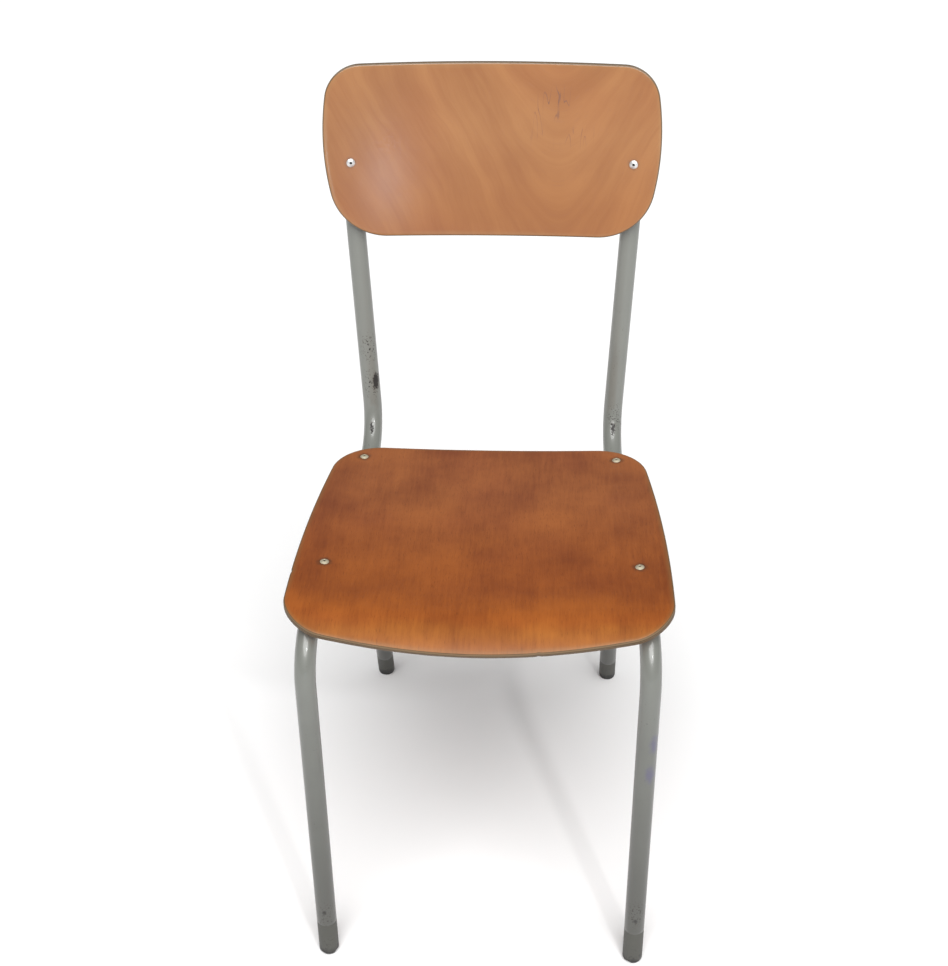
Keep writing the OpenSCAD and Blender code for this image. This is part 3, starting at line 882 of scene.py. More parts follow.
def foot_plastic(scene):
    """Grey plastic, black where it meets the floor and on the front feet's inner sides."""
    c = scene.chair_colours
    material, n, shader, place = new_material("Foot plastic")
    x, y, z = n.split(place)
    fine = n.noise(place, 320.0, 4.0, 0.7)
    broad = n.noise(place, 55.0, 3.0, 0.6)
    reach = n.math("MULTIPLY_ADD", z, 0.4, n.math("ABSOLUTE", x))
    reach = n.math("MULTIPLY_ADD", fine, 0.006, reach)
    inner = scene.chair_tubes.foot_span / 2 - 0.004
    front_pair = n.step(y, 0.05, 0.0)
    # The front feet's inner sides are darkened to black.
    inner_black = n.math("MULTIPLY", n.step(reach, inner + 0.003, inner), front_pair)
    base = n.mix(broad, shaded(c.plastic, 0.82), shaded(c.plastic, 1.25))
    height = n.math("MULTIPLY_ADD", broad, -0.030, z)
    ground = n.step(n.math("MULTIPLY_ADD", fine, 0.012, height), 0.004, -0.006)
    speckle = n.math("MULTIPLY", n.step(fine, 0.56, 0.64), n.step(z, 0.040, 0.004))
    scuffed = n.math("MAXIMUM", ground, n.math("MULTIPLY", speckle, 0.8))
    scuffed = n.math("MAXIMUM", scuffed, n.math("MULTIPLY", inner_black, 0.85))
    n.feed(shader.inputs["Base Color"], n.mix(scuffed, base, tuple(c.scuff)))
    n.feed(shader.inputs["Roughness"], n.math("MULTIPLY_ADD", broad, 0.2, 0.48))
    bump(n, shader, n.math("MULTIPLY_ADD", scuffed, -0.8, fine), 0.3, 0.0004)
    return material


def cap_plastic(scene):
    """Plastic with dust in broad patches."""
    c = scene.chair_colours
    material, n, shader, place = new_material("Cap plastic")
    broad = n.noise(place, 90.0, 3.0, 0.6)
    dusty = n.mix(broad, tuple(c.cap), shaded(c.cap, 1.7))
    n.feed(shader.inputs["Base Color"], dusty)
    n.feed(shader.inputs["Roughness"], n.math("MULTIPLY_ADD", broad, 0.25, 0.40))
    bump(n, shader, n.noise(place, 800.0, 3.0), 0.2, 0.0003)
    return material


def metal(name, tone, roughness, tarnish, metallic=0.85):
    """Bare metal, finely pitted, with tarnish in patches."""
    material, n, shader, place = new_material(name)
    patches = n.noise(place, 700.0, 3.0, 0.6)
    dull = n.step(patches, 0.4, 0.75)
    n.feed(shader.inputs["Base Color"], n.mix(dull, tuple(tone), shaded(tone, tarnish)))
    n.feed(shader.inputs["Roughness"], n.math("MULTIPLY_ADD", patches, 0.3, roughness))
    shader.inputs["Metallic"].default_value = metallic
    bump(n, shader, n.noise(place, 1800.0, 2.0), 0.15, 0.0002)
    return material


def material_of(name, make, *arguments):
    """The material of that name, made on first use."""
    return bpy.data.materials.get(name) or make(*arguments)


def stem_steel(scene):
    """The dull steel of the pins and the broken stems."""
    tone = tuple(scene.chair_colours.stem)
    return material_of("Pin steel", metal, "Pin steel", tone, 0.45, 0.6)


# ---- Geometry node trees ----


def geometry_tree(name, inputs, build):
    """A geometry tree with named inputs that ends in Realize Instances and Set Material."""
    if name in bpy.data.node_groups:
        return bpy.data.node_groups[name]
    tree = bpy.data.node_groups.new(name, "GeometryNodeTree")
    interface = tree.interface
    interface.new_socket("Geometry", in_out="INPUT", socket_type="NodeSocketGeometry")
    for key, kind in inputs.items():
        interface.new_socket(key, in_out="INPUT", socket_type="NodeSocket" + kind)
    interface.new_socket("Material", in_out="INPUT", socket_type="NodeSocketMaterial")
    interface.new_socket("Geometry", in_out="OUTPUT", socket_type="NodeSocketGeometry")
    nodes = Nodes(tree)
    given = tree.nodes.new("NodeGroupInput").outputs
    built = build(nodes, given)
    solid = nodes.add("GeometryNodeRealizeInstances", {0: built}).outputs[0]
    smooth = nodes.add("GeometryNodeSetShadeSmooth", {"Geometry": solid}).outputs[0]
    painted = nodes.add(
        "GeometryNodeSetMaterial", {"Geometry": smooth, "Material": given["Material"]}
    )
    nodes.feed(tree.nodes.new("NodeGroupOutput").inputs[0], painted.outputs[0])
    return tree


def named(nodes, name, kind="FLOAT"):
    node = nodes.add("GeometryNodeInputNamedAttribute", {"Name": name}, data_type=kind)
    return node.outputs["Attribute"]


def tube_tree():
    """Sweeps a round section along a cornered path whose corners are bent to a radius."""

    def build(n, given):
        curve = n.add("GeometryNodeMeshToCurve", {"Mesh": given["Geometry"]}).outputs[0]
        bent = n.add(
            "GeometryNodeFilletCurve",
            {"Curve": curve, "Count": given["Bend Steps"], "Radius": named(n, "bend")},
            mode="POLY",
        ).outputs[0]
        even = n.add(
            "GeometryNodeResampleCurve", {"Curve": bent, "Length": given["Step"]}, mode="LENGTH"
        ).outputs[0]
        circle = n.add(
            "GeometryNodeCurvePrimitiveCircle",
            {"Resolution": given["Sides"], "Radius": given["Radius"]},
        ).outputs[0]
        swept = n.add("GeometryNodeCurveToMesh", {"Curve": even, "Profile Curve": circle})
        return swept.outputs[0]

    inputs = {"Radius": "Float", "Step": "Float", "Sides": "Int", "Bend Steps": "Int"}
    return geometry_tree("Bent tube", inputs, build)


def bead_tree():
    """Sweeps a rippled weld bead along a closed seam."""

    def build(n, given):
        curve = n.add("GeometryNodeMeshToCurve", {"Mesh": given["Geometry"]}).outputs[0]
        even = n.add(
            "GeometryNodeResampleCurve", {"Curve": curve, "Length": given["Step"]}, mode="LENGTH"
        ).outputs[0]
        run = n.add("GeometryNodeSplineParameter").outputs["Length"]
        turns = n.math("DIVIDE", run, given["Ripple"])
        wave = n.math("SINE", n.math("MULTIPLY", turns, math.tau))
        place = n.add("GeometryNodeInputPosition").outputs[0]
        lumps = n.math("SUBTRACT", n.noise(place, 260.0, 2.0), 0.5)
        swell = n.math("MULTIPLY_ADD", wave, 0.08, n.math("MULTIPLY_ADD", lumps, 0.5, 1.0))
        thick = n.add("GeometryNodeSetCurveRadius", {"Curve": even, "Radius": swell}).outputs[0]
        circle = n.add(
            "GeometryNodeCurvePrimitiveCircle", {"Resolution": 14, "Radius": given["Radius"]}
        ).outputs[0]
        swept = n.add(
            "GeometryNodeCurveToMesh",
            {"Curve": thick, "Profile Curve": circle, "Scale": swell},
        )
        return swept.outputs[0]

    inputs = {"Radius": "Float", "Step": "Float", "Ripple": "Float"}
    return geometry_tree("Weld bead", inputs, build)


def fastener_tree():
    """Puts one part at each point, its Z along the point's aim, at a random turn."""

    def build(n, given):
        part = n.add("GeometryNodeObjectInfo", {"Object": given["Part"], "As Instance": True})
        aimed = n.add(
            "FunctionNodeAlignRotationToVector", {"Vector": named(n, "aim", "FLOAT_VECTOR")}, axis="Z"
        ).outputs[0]
        spin = n.add(
            "FunctionNodeRandomValue", {"Max": (0.0, 0.0, math.tau), "Seed": given["Seed"]},
            data_type="FLOAT_VECTOR",
        ).outputs[0]
        turned = n.add(
            "FunctionNodeRotateRotation", {"Rotation": aimed, "Rotate By": spin},
            rotation_space="LOCAL",
        ).outputs[0]
        placed = n.add(
            "GeometryNodeInstanceOnPoints",
            {"Points": given["Geometry"], "Instance": part.outputs["Geometry"], "Rotation": turned},
        )
        return placed.outputs[0]

    return geometry_tree("Fasteners", {"Part": "Object", "Seed": "Int"}, build)


# ---- Mesh helpers ----


def new_object(name, mesh):
    piece = bpy.data.objects.new(name, mesh)
    bpy.context.scene.collection.objects.link(piece)
    return piece


def mesh_from(name, points, faces=(), edges=()):
    mesh = bpy.data.meshes.new(name)
    mesh.from_pydata([tuple(p) for p in points], edges, faces)
    mesh.validate()
    return mesh


def bake(piece):
    """Replaces a piece's mesh with what its modifiers make of it, and removes them."""
    graph = bpy.context.evaluated_depsgraph_get()
    solid = bpy.data.meshes.new_from_object(
        piece.evaluated_get(graph), preserve_all_data_layers=True, depsgraph=graph
    )
    first = piece.data
    piece.modifiers.clear()
    piece.data = solid
    bpy.data.meshes.remove(first)
    solid.name = piece.name


def grow(piece, tree, **values):
    """Runs a geometry tree on a piece and keeps the mesh. Underscores stand for spaces."""
    modifier = piece.modifiers.new("Grow", "NODES")
    modifier.node_group = tree
    sockets = {
        item.name: item.identifier
        for item in tree.interface.items_tree
        if item.item_type == "SOCKET" and item.in_out == "INPUT"
    }
    for key, value in values.items():
        modifier[sockets[key.replace("_", " ")]] = value
    bake(piece)


def face_outwards(mesh, merge=True):
    """Merges doubled points, if asked, and turns the faces of a closed shape outwards."""
    work = bmesh.new()
    work.from_mesh(mesh)
    if merge:
        bmesh.ops.remove_doubles(work, verts=work.verts, dist=1e-7)
    bmesh.ops.recalc_face_normals(work, faces=work.faces)
    work.to_mesh(mesh)
    work.free()


def lathe(name, profile, sides=64):
    """A closed mesh turned from (radius, height) points about Z. Ends at radius 0 are poles."""
    points, rings = [], []
    for radius, z in profile:
        count = 1 if radius < 1e-9 else sides
        rings.append(range(len(points), len(points) + count))
        for i in range(count):
            a = math.tau * i / sides
            points.append((radius * math.cos(a), radius * math.sin(a), z))
    faces = []
    for low, high in zip(rings, rings[1:]):
        for i in range(sides):
            j = (i + 1) % sides
            corners = [low[i % len(low)], low[j % len(low)], high[j % len(high)], high[i % len(high)]]
            faces.append(list(dict.fromkeys(corners)))
    if len(rings[0]) > 1 and len(rings[-1]) > 1:
        for i in range(sides):
            j = (i + 1) % sides
            faces.append([rings[-1][i], rings[-1][j], rings[0][j], rings[0][i]])
    mesh = mesh_from(name, points, faces)
    face_outwards(mesh)
    mesh.shade_smooth()
    mesh.set_sharp_from_angle(angle=math.radians(50))
    return mesh


def round_corner(centre, radius, start, end, steps=6):
    """(radius, height) points along an arc of a profile, angles in degrees."""
    angles = np.radians(np.linspace(start, end, steps + 1))
    return [(centre[0] + radius * math.cos(a), centre[1] + radius * math.sin(a)) for a in angles]


def axes_along(z):
    """Three unit vectors square to each other, the last of them along z."""
    z = z.normalized()
    x = Vector((0, 0, 1)).cross(z).normalized() if abs(z.z) < 0.999 else X_AXIS.copy()
    return x, z.cross(x), z


def stand(mesh, origin, z):
    """Moves a mesh so that its origin is at a point and its Z along a direction."""
    x, y, z = axes_along(z)
    for vertex in mesh.vertices:
        c = vertex.co.copy()
        vertex.co = origin + x * c.x + y * c.y + z * c.z
    mesh.update()


def stands_for(piece, *nodes):
    """Rides the finished piece on the chair's body in place of CAD nodes."""
    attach(piece, BODY)
    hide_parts(*nodes)
    low, high = Vector((1e9,) * 3), Vector((-1e9,) * 3)
    for node in nodes:
        a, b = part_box(node)
        low = Vector(map(min, low, a))
        high = Vector(map(max, high, b))
    corners = np.array([v.co for v in piece.data.vertices])
    off = max(np.abs(corners.min(0) - low).max(), np.abs(corners.max(0) - high).max())
    if off > FIT_LIMIT:
        raise RuntimeError(f"{piece.name} is {off * 1000:.1f} mm off the box of {nodes}")


# ---- Tubes ----


def tube_piece(scene, name, path, bends, tube_d, cope=()):
    """A hollow painted tube along a path, its ends shaped to meet a rail where asked."""
    s = scene.chair_tubes
    mesh = mesh_from(name, path, edges=[(i, i + 1) for i in range(len(path) - 1)])
    bend = mesh.attributes.new("bend", "FLOAT", "POINT")
    bend.data.foreach_set("value", bends)
    piece = new_object(name, mesh)
    paint = material_of("Grey frame paint", grey_paint, scene)
    grow(piece, tube_tree(), Radius=tube_d / 2, Step=0.004, Sides=40, Bend_Steps=24, Material=paint)
    for end, rail in cope:
        shape_end(piece.data, path, end, rail, s.tube_d / 2 + s.weld_gap)
    outward_tube(piece.data, path)
    shell = piece.modifiers.new("Wall", "SOLIDIFY")
    shell.thickness = s.wall
    shell.offset = -1
    shell.use_even_offset = True
    rim = piece.modifiers.new("Rim", "BEVEL")
    rim.width = 0.0003
    rim.segments = 2
    rim.limit_method = "ANGLE"
    rim.angle_limit = math.radians(60)
    bake(piece)
    piece.data.shade_smooth()
    piece.data.set_sharp_from_angle(angle=math.radians(40))
    return piece


def outward_tube(mesh, path):
    """Turns the faces of an open tube away from its own axis."""
    middle = (Vector(path[0]) + Vector(path[1])) / 2
    along = (Vector(path[1]) - Vector(path[0])).normalized()
    nearest = min(mesh.polygons, key=lambda f: (f.center - middle).length)
    away = nearest.center - middle
    away -= along * away.dot(along)
    if nearest.normal.dot(away) < 0:
        mesh.flip_normals()


def shape_end(mesh, path, end, rail, reach):
    """Stretches the end of a tube until its rim meets a rail of that radius."""
    tip, before = (path[0], path[1]) if end == 0 else (path[-1], path[-2])
    along = (tip - before).normalized()
    blend = 4 * reach
    for vertex in mesh.vertices:
        ahead = (vertex.co - tip).dot(along)
        share_moved = 1 + ahead / blend
        if share_moved > 0:
            start = vertex.co - along * (ahead + blend)
            shift = distance_to_rail(start, along, *rail, reach) - blend
            vertex.co = vertex.co + along * shift * share_moved
    mesh.update()


def distance_to_rail(point, along, rail_point, rail_dir, reach):
    """How far a point moves along a direction before it is that near to a rail's axis."""
    w = point - rail_point
    w = w - rail_dir * w.dot(rail_dir)
    d = along - rail_dir * along.dot(rail_dir)
    a, b, c = d.dot(d), w.dot(d), w.dot(w) - reach * reach
    return (-b - math.sqrt(max(b * b - a * c, 0))) / a


def rail_axis(points, side):
    """A point on a rail's axis and the axis's direction."""
    return mirrored(points.rear_corner, side), mirrored(points.rail_dir, side)


def shoulder(scene, foot, top):
    """Where a foot's shoulder meets the end of its tube."""
    return foot + (top - foot).normalized() * scene.chair_feet.length_out


class CHAIR_OT_side_tubes(bpy.types.Operator):
    """Builds the two bent side tubes: front leg, seat rail and back upright in one"""

    bl_idname = "chair.side_tubes"
    bl_label = "Side tubes"

    def execute(self, context):
        scene = context.scene
        s = scene.chair_tubes
        p = frame_points(scene)
        start = shoulder(scene, p.front_foot, p.front_corner)
        for name, side in SIDES:
            corners = (start, p.front_corner, p.rear_corner, p.upright_end)
            path = [mirrored(c, side) for c in corners]
            bends = [0, s.bend_r, s.bend_r, 0]
            piece = tube_piece(scene, f"{name}_side_tube_painted", path, bends, s.tube_d)
            stands_for(piece, f"{name}_side_tube")
        return {"FINISHED"}


class CHAIR_OT_rear_legs(bpy.types.Operator):
    """Builds the two raked rear legs, shaped to the rails at their tops"""

    bl_idname = "chair.rear_legs"
    bl_label = "Rear legs"

    def execute(self, context):
        scene = context.scene
        s = scene.chair_tubes
        p = frame_points(scene)
        start = shoulder(scene, p.rear_foot, p.rear_leg_end)
        end = on_line(start, p.rear_leg_end, 1 - s.tube_d / 2 / (p.rear_leg_end - start).length)
        for name, side in SIDES:
            path = [mirrored(start, side), mirrored(end, side)]
            rails = [(1, rail_axis(p, side))]
            piece = tube_piece(scene, f"{name}_rear_leg_painted", path, [0, 0], s.tube_d, rails)
            stands_for(piece, f"{name}_rear_leg")
        return {"FINISHED"}


def cross_tube_line(node):
    """Half length, Y and height of a cross tube's axis, from its packed box."""
    middle = box_middle(node)
    return box_size(node).x / 2, middle.y, middle.z


class CHAIR_OT_cross_tubes(bpy.types.Operator):
    """Builds the two cross tubes under the seat"""

    bl_idname = "chair.cross_tubes"
    bl_label = "Cross tubes"

    def execute(self, context):
        scene = context.scene
        s = scene.chair_tubes
        p = frame_points(scene)
        for name in ("front_cross_tube", "rear_cross_tube"):
            half, y, z = cross_tube_line(name)
            path = [Vector((-half, y, z)), Vector((half, y, z))]
            rails = [(end, rail_axis(p, side)) for end, (_name, side) in enumerate(SIDES)]
            piece = tube_piece(scene, name + "_painted", path, [0, 0], s.cross_d, rails)
            stands_for(piece, name)
        return {"FINISHED"}


# ---- Welds ----


def seam(p, q, tube_r, rail, rail_r, steps=48):
    """The closed line on which a round tube from p to q leaves a rail's surface."""
    x, y, along = axes_along(q - p)
    rail_point, rail_dir = rail
    line = []
    for i in range(steps):
        a = math.tau * i / steps
        start = q + (x * math.cos(a) + y * math.sin(a)) * tube_r
        gone = distance_to_rail(start, -along, rail_point, rail_dir, rail_r)
        line.append(start - along * gone)
    return line


def weld_seams(scene, node):
    """Both seams of a pair of welds, left and right."""
    s = scene.chair_tubes
    p = frame_points(scene)
    lines = []
    for _name, side in SIDES:
        if node == "rear_leg_welds":
            ends = mirrored(p.rear_leg_end, side), mirrored(p.rear_foot, side)
            radius = s.tube_d / 2
        else:
            half, y, z = cross_tube_line(node.replace("welds", "tube"))
            ends = Vector((side * half, y, z)), Vector((0, y, z))
            radius = s.cross_d / 2
        lines.append(seam(*ends, radius, rail_axis(p, side), s.tube_d / 2))
    return lines


class CHAIR_OT_welds(bpy.types.Operator):
    """Builds the rippled weld beads of the cross tubes and rear legs"""

    bl_idname = "chair.welds"
    bl_label = "Welds"

    def execute(self, context):
        scene = context.scene
        s = scene.chair_tubes
        paint = material_of("Painted weld", weld_paint, scene)
        for node in ("front_cross_welds", "rear_cross_welds", "rear_leg_welds"):
            points, edges = [], []
            for line in weld_seams(scene, node):
                first = len(points)
                points += line
                count = len(line)
                edges += [(first + i, first + (i + 1) % count) for i in range(count)]
            piece = new_object(node + "_painted", mesh_from(node, points, edges=edges))
            grow(
                piece, bead_tree(), Radius=s.weld_r, Step=0.0005, Ripple=s.weld_pitch, Material=paint
            )
            face_outwards(piece.data)
            stands_for(piece, node)
        return {"FINISHED"}


# ---- Feet, pins and caps ----


def foot_profile(tube_r, shank_r, length_out, shank, corner):
    """Half section of a foot, rounded end at the bottom, from its lowest point up."""
    lip = 0.0006
    chamfer = 0.001
    top = length_out + shank
    profile = [(0, -tube_r)] + round_corner((tube_r - corner, corner - tube_r), corner, -90, 0, 16)
    profile += [(tube_r, z) for z in np.linspace(0.002, length_out - lip, 14)]
    profile += round_corner((tube_r - lip, length_out - lip), lip, 20, 90, 4)
    profile += [(shank_r, length_out), (shank_r, top - chamfer), (shank_r - chamfer, top), (0, top)]
    return profile


def scuff(mesh, centre, reach, seed, flats=9):
    """Wears small flats into a foot's rounded end."""
    rng = np.random.default_rng(seed)
    for _flat in range(flats):
        a = rng.uniform(0, math.tau)
        down = rng.uniform(-1.2, -0.3)
        aim = Vector((math.cos(a), math.sin(a), down)).normalized()
        face = reach * rng.uniform(1.06, 1.20)
        for vertex in mesh.vertices:
            over = (vertex.co - centre).dot(aim) - face
            if over > 0:
                vertex.co = vertex.co - aim * over
    mesh.update()


def keep_inside(mesh, low, high):
    """Flattens what stands out of a box, as a floor wears a foot."""
    for vertex in mesh.vertices:
        vertex.co = Vector(min(max(c, a), b) for c, a, b in zip(vertex.co, low, high))
    mesh.update()


class CHAIR_OT_feet(bpy.types.Operator):
    """Builds the four worn plastic feet"""

    bl_idname = "chair.feet"
    bl_label = "Feet"

    def execute(self, context):
        scene = context.scene
        s = scene.chair_feet
        t = scene.chair_tubes
        tube_r = t.tube_d / 2
        shank_r = tube_r - t.wall - s.shank_gap
        plastic = material_of("Foot plastic", foot_plastic, scene)
        for number, (place, foot, top, _facing) in enumerate(leg_lines(frame_points(scene))):
            for name, side in SIDES:
                centre = mirrored(at_z(foot, top, tube_r - s.wear), side)
                end = mirrored(shoulder(scene, foot, top), side)
                node = f"{name}_{place}_foot"
                out = (end - centre).length
                profile = foot_profile(tube_r, shank_r, out, s.shank, s.corner_r)
                mesh = lathe(node, profile)
                stand(mesh, centre, end - centre)
                scuff(mesh, centre, tube_r, seed=10 * number + side + 1)
                keep_inside(mesh, *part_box(node))
                mesh.materials.append(plastic)
                piece = new_object(node + "_worn", mesh)
                stands_for(piece, node)
        return {"FINISHED"}


def points_with_aim(name, places):
    """A mesh of loose points, each with the direction that its fastener faces."""
    mesh = mesh_from(name, [spot for spot, _aim in places])
    aims = mesh.attributes.new("aim", "FLOAT_VECTOR", "POINT")
    aims.data.foreach_set("vector", np.ravel([tuple(aim) for _spot, aim in places]))
    return new_object(name, mesh)


def fasten(name, places, part_mesh, material, nodes, seed):
    """Copies one part to each place and keeps them as one piece."""
    part = new_object(name + "_pattern", part_mesh)
    piece = points_with_aim(name, places)
    grow(piece, fastener_tree(), Part=part, Seed=seed, Material=material)
    bpy.data.objects.remove(part)
    piece.data.set_sharp_from_angle(angle=math.radians(45))
    stands_for(piece, *nodes)


def pin_places(scene):
    """Each pin's head: its place on the tube's face and the way that it faces."""
    s = scene.chair_feet
    tube_r = scene.chair_tubes.tube_d / 2
    places = []
    for _place, foot, top, facing in leg_lines(frame_points(scene)):
        along = (top - foot).normalized()
        level = Vector((0, facing, 0))
        out = along.cross(level).cross(along).normalized()
        spot = shoulder(scene, foot, top) + along * s.pin_pos + out * tube_r
        places += [(mirrored(spot, side), mirrored(out, side)) for _name, side in SIDES]
    return places


class CHAIR_OT_foot_pins(bpy.types.Operator):
    """Builds the four pins that hold the feet in their tubes"""

    bl_idname = "chair.foot_pins"
    bl_label = "Foot pins"

    def execute(self, context):
        scene = context.scene
        s = scene.chair_feet
        r = s.pin_d / 2
        crown = 0.0004
        dimple = 0.0006
        rim = round_corner((r - crown, -crown), crown, 0, 90, 4)
        profile = [(0, -s.pin_len), (r - crown, -s.pin_len), (r, -s.pin_len + crown)]
        profile += rim + [(r * 0.35, 0.0), (r * 0.2, 0.0001 - dimple), (0, -dimple)]
        steel = stem_steel(scene)
        mesh = lathe("foot_pin", profile, 24)
        fasten("foot_pins_steel", pin_places(scene), mesh, steel, ["foot_pins"], 3)
        return {"FINISHED"}


class CHAIR_OT_upright_caps(bpy.types.Operator):
    """Builds the domed caps in the open tops of the uprights"""

    bl_idname = "chair.upright_caps"
    bl_label = "Upright caps"

    def execute(self, context):
        scene = context.scene
        s = scene.chair_feet
        t = scene.chair_tubes
        p = frame_points(scene)
        tube_r = t.tube_d / 2
        shank_r = tube_r - t.wall - s.shank_gap
        dome_r = (tube_r**2 + s.dome**2) / (2 * s.dome)
        start = math.degrees(math.acos(tube_r / dome_r))
        chamfer = 0.001
        rim = 0.0003
        profile = [(0, -s.cap_shank), (shank_r - chamfer, -s.cap_shank)]
        profile += [(shank_r, chamfer - s.cap_shank), (shank_r, 0), (tube_r - rim, 0)]
        profile += round_corner((0, s.dome - dome_r), dome_r, start, 90, 14)[:-1]
        profile.append((0, s.dome))
        plastic = material_of("Cap plastic", cap_plastic, scene)
        for name, side in SIDES:
            node = f"{name}_upright_cap"
            mesh = lathe(node, profile)
            stand(mesh, mirrored(p.upright_end, side), mirrored(p.upright_dir, side))
            mesh.materials.append(plastic)
            piece = new_object(node + "_domed", mesh)
            stands_for(piece, node)
        return {"FINISHED"}


# ---- Rivets ----


def on_both_sides(spot, aim):
    return [(mirrored(spot, side), mirrored(aim, side)) for _name, side in SIDES]


def seat_rivet_places(scene):
    """Each seat rivet: the middle of its head on the wood, and the way it faces."""
    p = frame_points(scene)
    s = scene.chair_boards
    seat = seat_place(scene)
    places = []
    for along in (s.front_rivet, s.rear_rivet):
        hold = at_y(p.front_corner, p.rear_corner, p.feet + along)
        centre = seat.centre + seat.back * (hold.y - seat.middle_y)
        aim = (centre - hold).normalized()
        places += on_both_sides(centre - aim * s.dish_r, aim)
    return places


def back_rivet_places(scene):
    """The same for the backrest's rivets."""
    back = back_place(scene)
    aim = (back.centre - back.hold).normalized()
    return on_both_sides(back.centre - aim * scene.chair_boards.back_curve_r, aim)


def rivet_profile(scene):
    """Half section of a set blind rivet round its bore, the wood's face at height 0."""
    r = scene.chair_rivets
    b = scene.chair_boards
    t = scene.chair_tubes
    bore = r.bore_d / 2
    head = r.head_d / 2
    bulge = r.bulge_d / 2
    inner = t.tube_d / 2 - t.wall
    top = -(b.ply + b.wood_gap + t.tube_d / 2 - math.sqrt(inner**2 - bulge**2))
    dome_r = (head**2 + r.head_h**2) / (2 * r.head_h)
    middle = r.head_h - dome_r
    rim_h = 0.0003
    mouth = 0.0004
    swell = 0.0008
    rim = math.degrees(math.asin((rim_h - middle) / dome_r))
    crown = math.degrees(math.acos((bore + mouth) / dome_r))
    profile = [(bore, top - r.bulge_len), (bulge - swell, top - r.bulge_len)]
    profile += round_corner((bulge - swell, top - swell), swell, -90, 90, 6)
    profile += [(r.shank_d / 2, top), (r.shank_d / 2, 0), (head - 0.0002, 0)]
    profile += round_corner((0, middle), dome_r, rim, crown, 12)
    crest = profile[-1][1]
    profile += [(bore + 0.0001, crest - 0.0003), (bore, crest - 0.0009)]
    return profile


class CHAIR_OT_rivets(bpy.types.Operator):
    """Builds the blind rivets of the seat and the backrest"""

    bl_idname = "chair.rivets"
    bl_label = "Rivets"

    def execute(self, context):
        scene = context.scene
        c = scene.chair_colours
        old = metal("Worn aluminium", tuple(c.old_aluminium), 0.5, 0.6, 0.45)
        new = metal("Aluminium", tuple(c.aluminium), 0.30, 0.85)
        for node, places, finish, seed in (
            ("seat_rivets", seat_rivet_places(scene), old, 5),
            ("backrest_rivets", back_rivet_places(scene), new, 7),
        ):
            mesh = lathe(node + "_pattern", rivet_profile(scene), 40)
            fasten(node + "_set", places, mesh, finish, [node], seed)
        return {"FINISHED"}


class CHAIR_OT_broken_stems(bpy.types.Operator):
    """Gives the broken stems inside the rivets their dull steel"""

    bl_idname = "chair.broken_stems"
    bl_label = "Broken stems"

    def execute(self, context):
        steel = stem_steel(context.scene)
        for node in ("seat_rivet_mandrels", "backrest_rivet_mandrels"):
            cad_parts[node].material_slots[0].material = steel
        return {"FINISHED"}


# ---- Boards ----


def unit(v):
    return v / np.linalg.norm(v)


def heading(v):
    return math.atan2(v[1], v[0])


def arc(centre, radius, start, end, steps):
    """Points from one heading round to another, counter-clockwise."""
    sweep = (end - start) % math.tau
    a = start + sweep * np.linspace(0, 1, steps)
    return centre + radius * np.stack([np.cos(a), np.sin(a)], 1)


def corner_centre(low, high, radius, way_out):
    """Centre of a corner that touches two large circles from inside."""
    (c1, r1), (c2, r2) = low, high
    span = np.linalg.norm(c2 - c1)
    reach = ((r1 - radius) ** 2 - (r2 - radius) ** 2 + span**2) / (2 * span)
    middle = c1 + unit(c2 - c1) * reach
    across = unit(np.array([c1[1] - c2[1], c2[0] - c1[0]]))
    step = math.sqrt((r1 - radius) ** 2 - reach**2) * across
    return middle + step if step @ way_out > 0 else middle - step


def outline_sides(half_w, widest, side_r, low, low_r, high, high_r, low_corner, high_corner):
    """Four sides of a rounded outline, counter-clockwise from the lowest, split at the corners."""
    corner_steps, side_steps = 60, 400
    arcs = [
        (np.array([0, low + low_r]), low_r),
        (np.array([half_w - side_r, widest]), side_r),
        (np.array([0, high - high_r]), high_r),
        (np.array([side_r - half_w, widest]), side_r),
    ]
    ways_out = np.array([[1, -1], [1, 1], [-1, 1], [-1, -1]])
    radii = [low_corner, high_corner, high_corner, low_corner]
    centres = [
        corner_centre(arcs[i], arcs[(i + 1) % 4], radii[i], ways_out[i]) for i in range(4)
    ]
    sides = []
    for i in range(4):
        centre, radius = arcs[i]
        first, last = centres[i - 1], centres[i]
        start, end = heading(first - centre), heading(last - centre)
        came = heading(first - arcs[i - 1][0])
        goes = heading(last - arcs[(i + 1) % 4][0])
        half_in = came + (start - came) % math.tau / 2
        half_out = end + (goes - end) % math.tau / 2
        parts = (
            arc(first, radii[i - 1], half_in, start, corner_steps),
            arc(centre, radius, start, end, side_steps),
            arc(last, radii[i], end, half_out, corner_steps),
        )
        sides.append(np.concatenate(parts))
    return sides


def evenly(points, count):
    """The points at equal steps along a line, without its last one."""
    run = np.concatenate([[0], np.cumsum(np.linalg.norm(np.diff(points, axis=0), axis=1))])
    wanted = np.linspace(0, run[-1], count + 1)[:-1]
    return np.stack([np.interp(wanted, run, points[:, k]) for k in range(2)], 1)


def inward(outline):
    """Unit vectors that point into a counter-clockwise outline."""
    ahead = np.roll(outline, -1, axis=0) - np.roll(outline, 1, axis=0)
    ahead /= np.linalg.norm(ahead, axis=1)[:, None]
    return np.stack([-ahead[:, 1], ahead[:, 0]], 1)


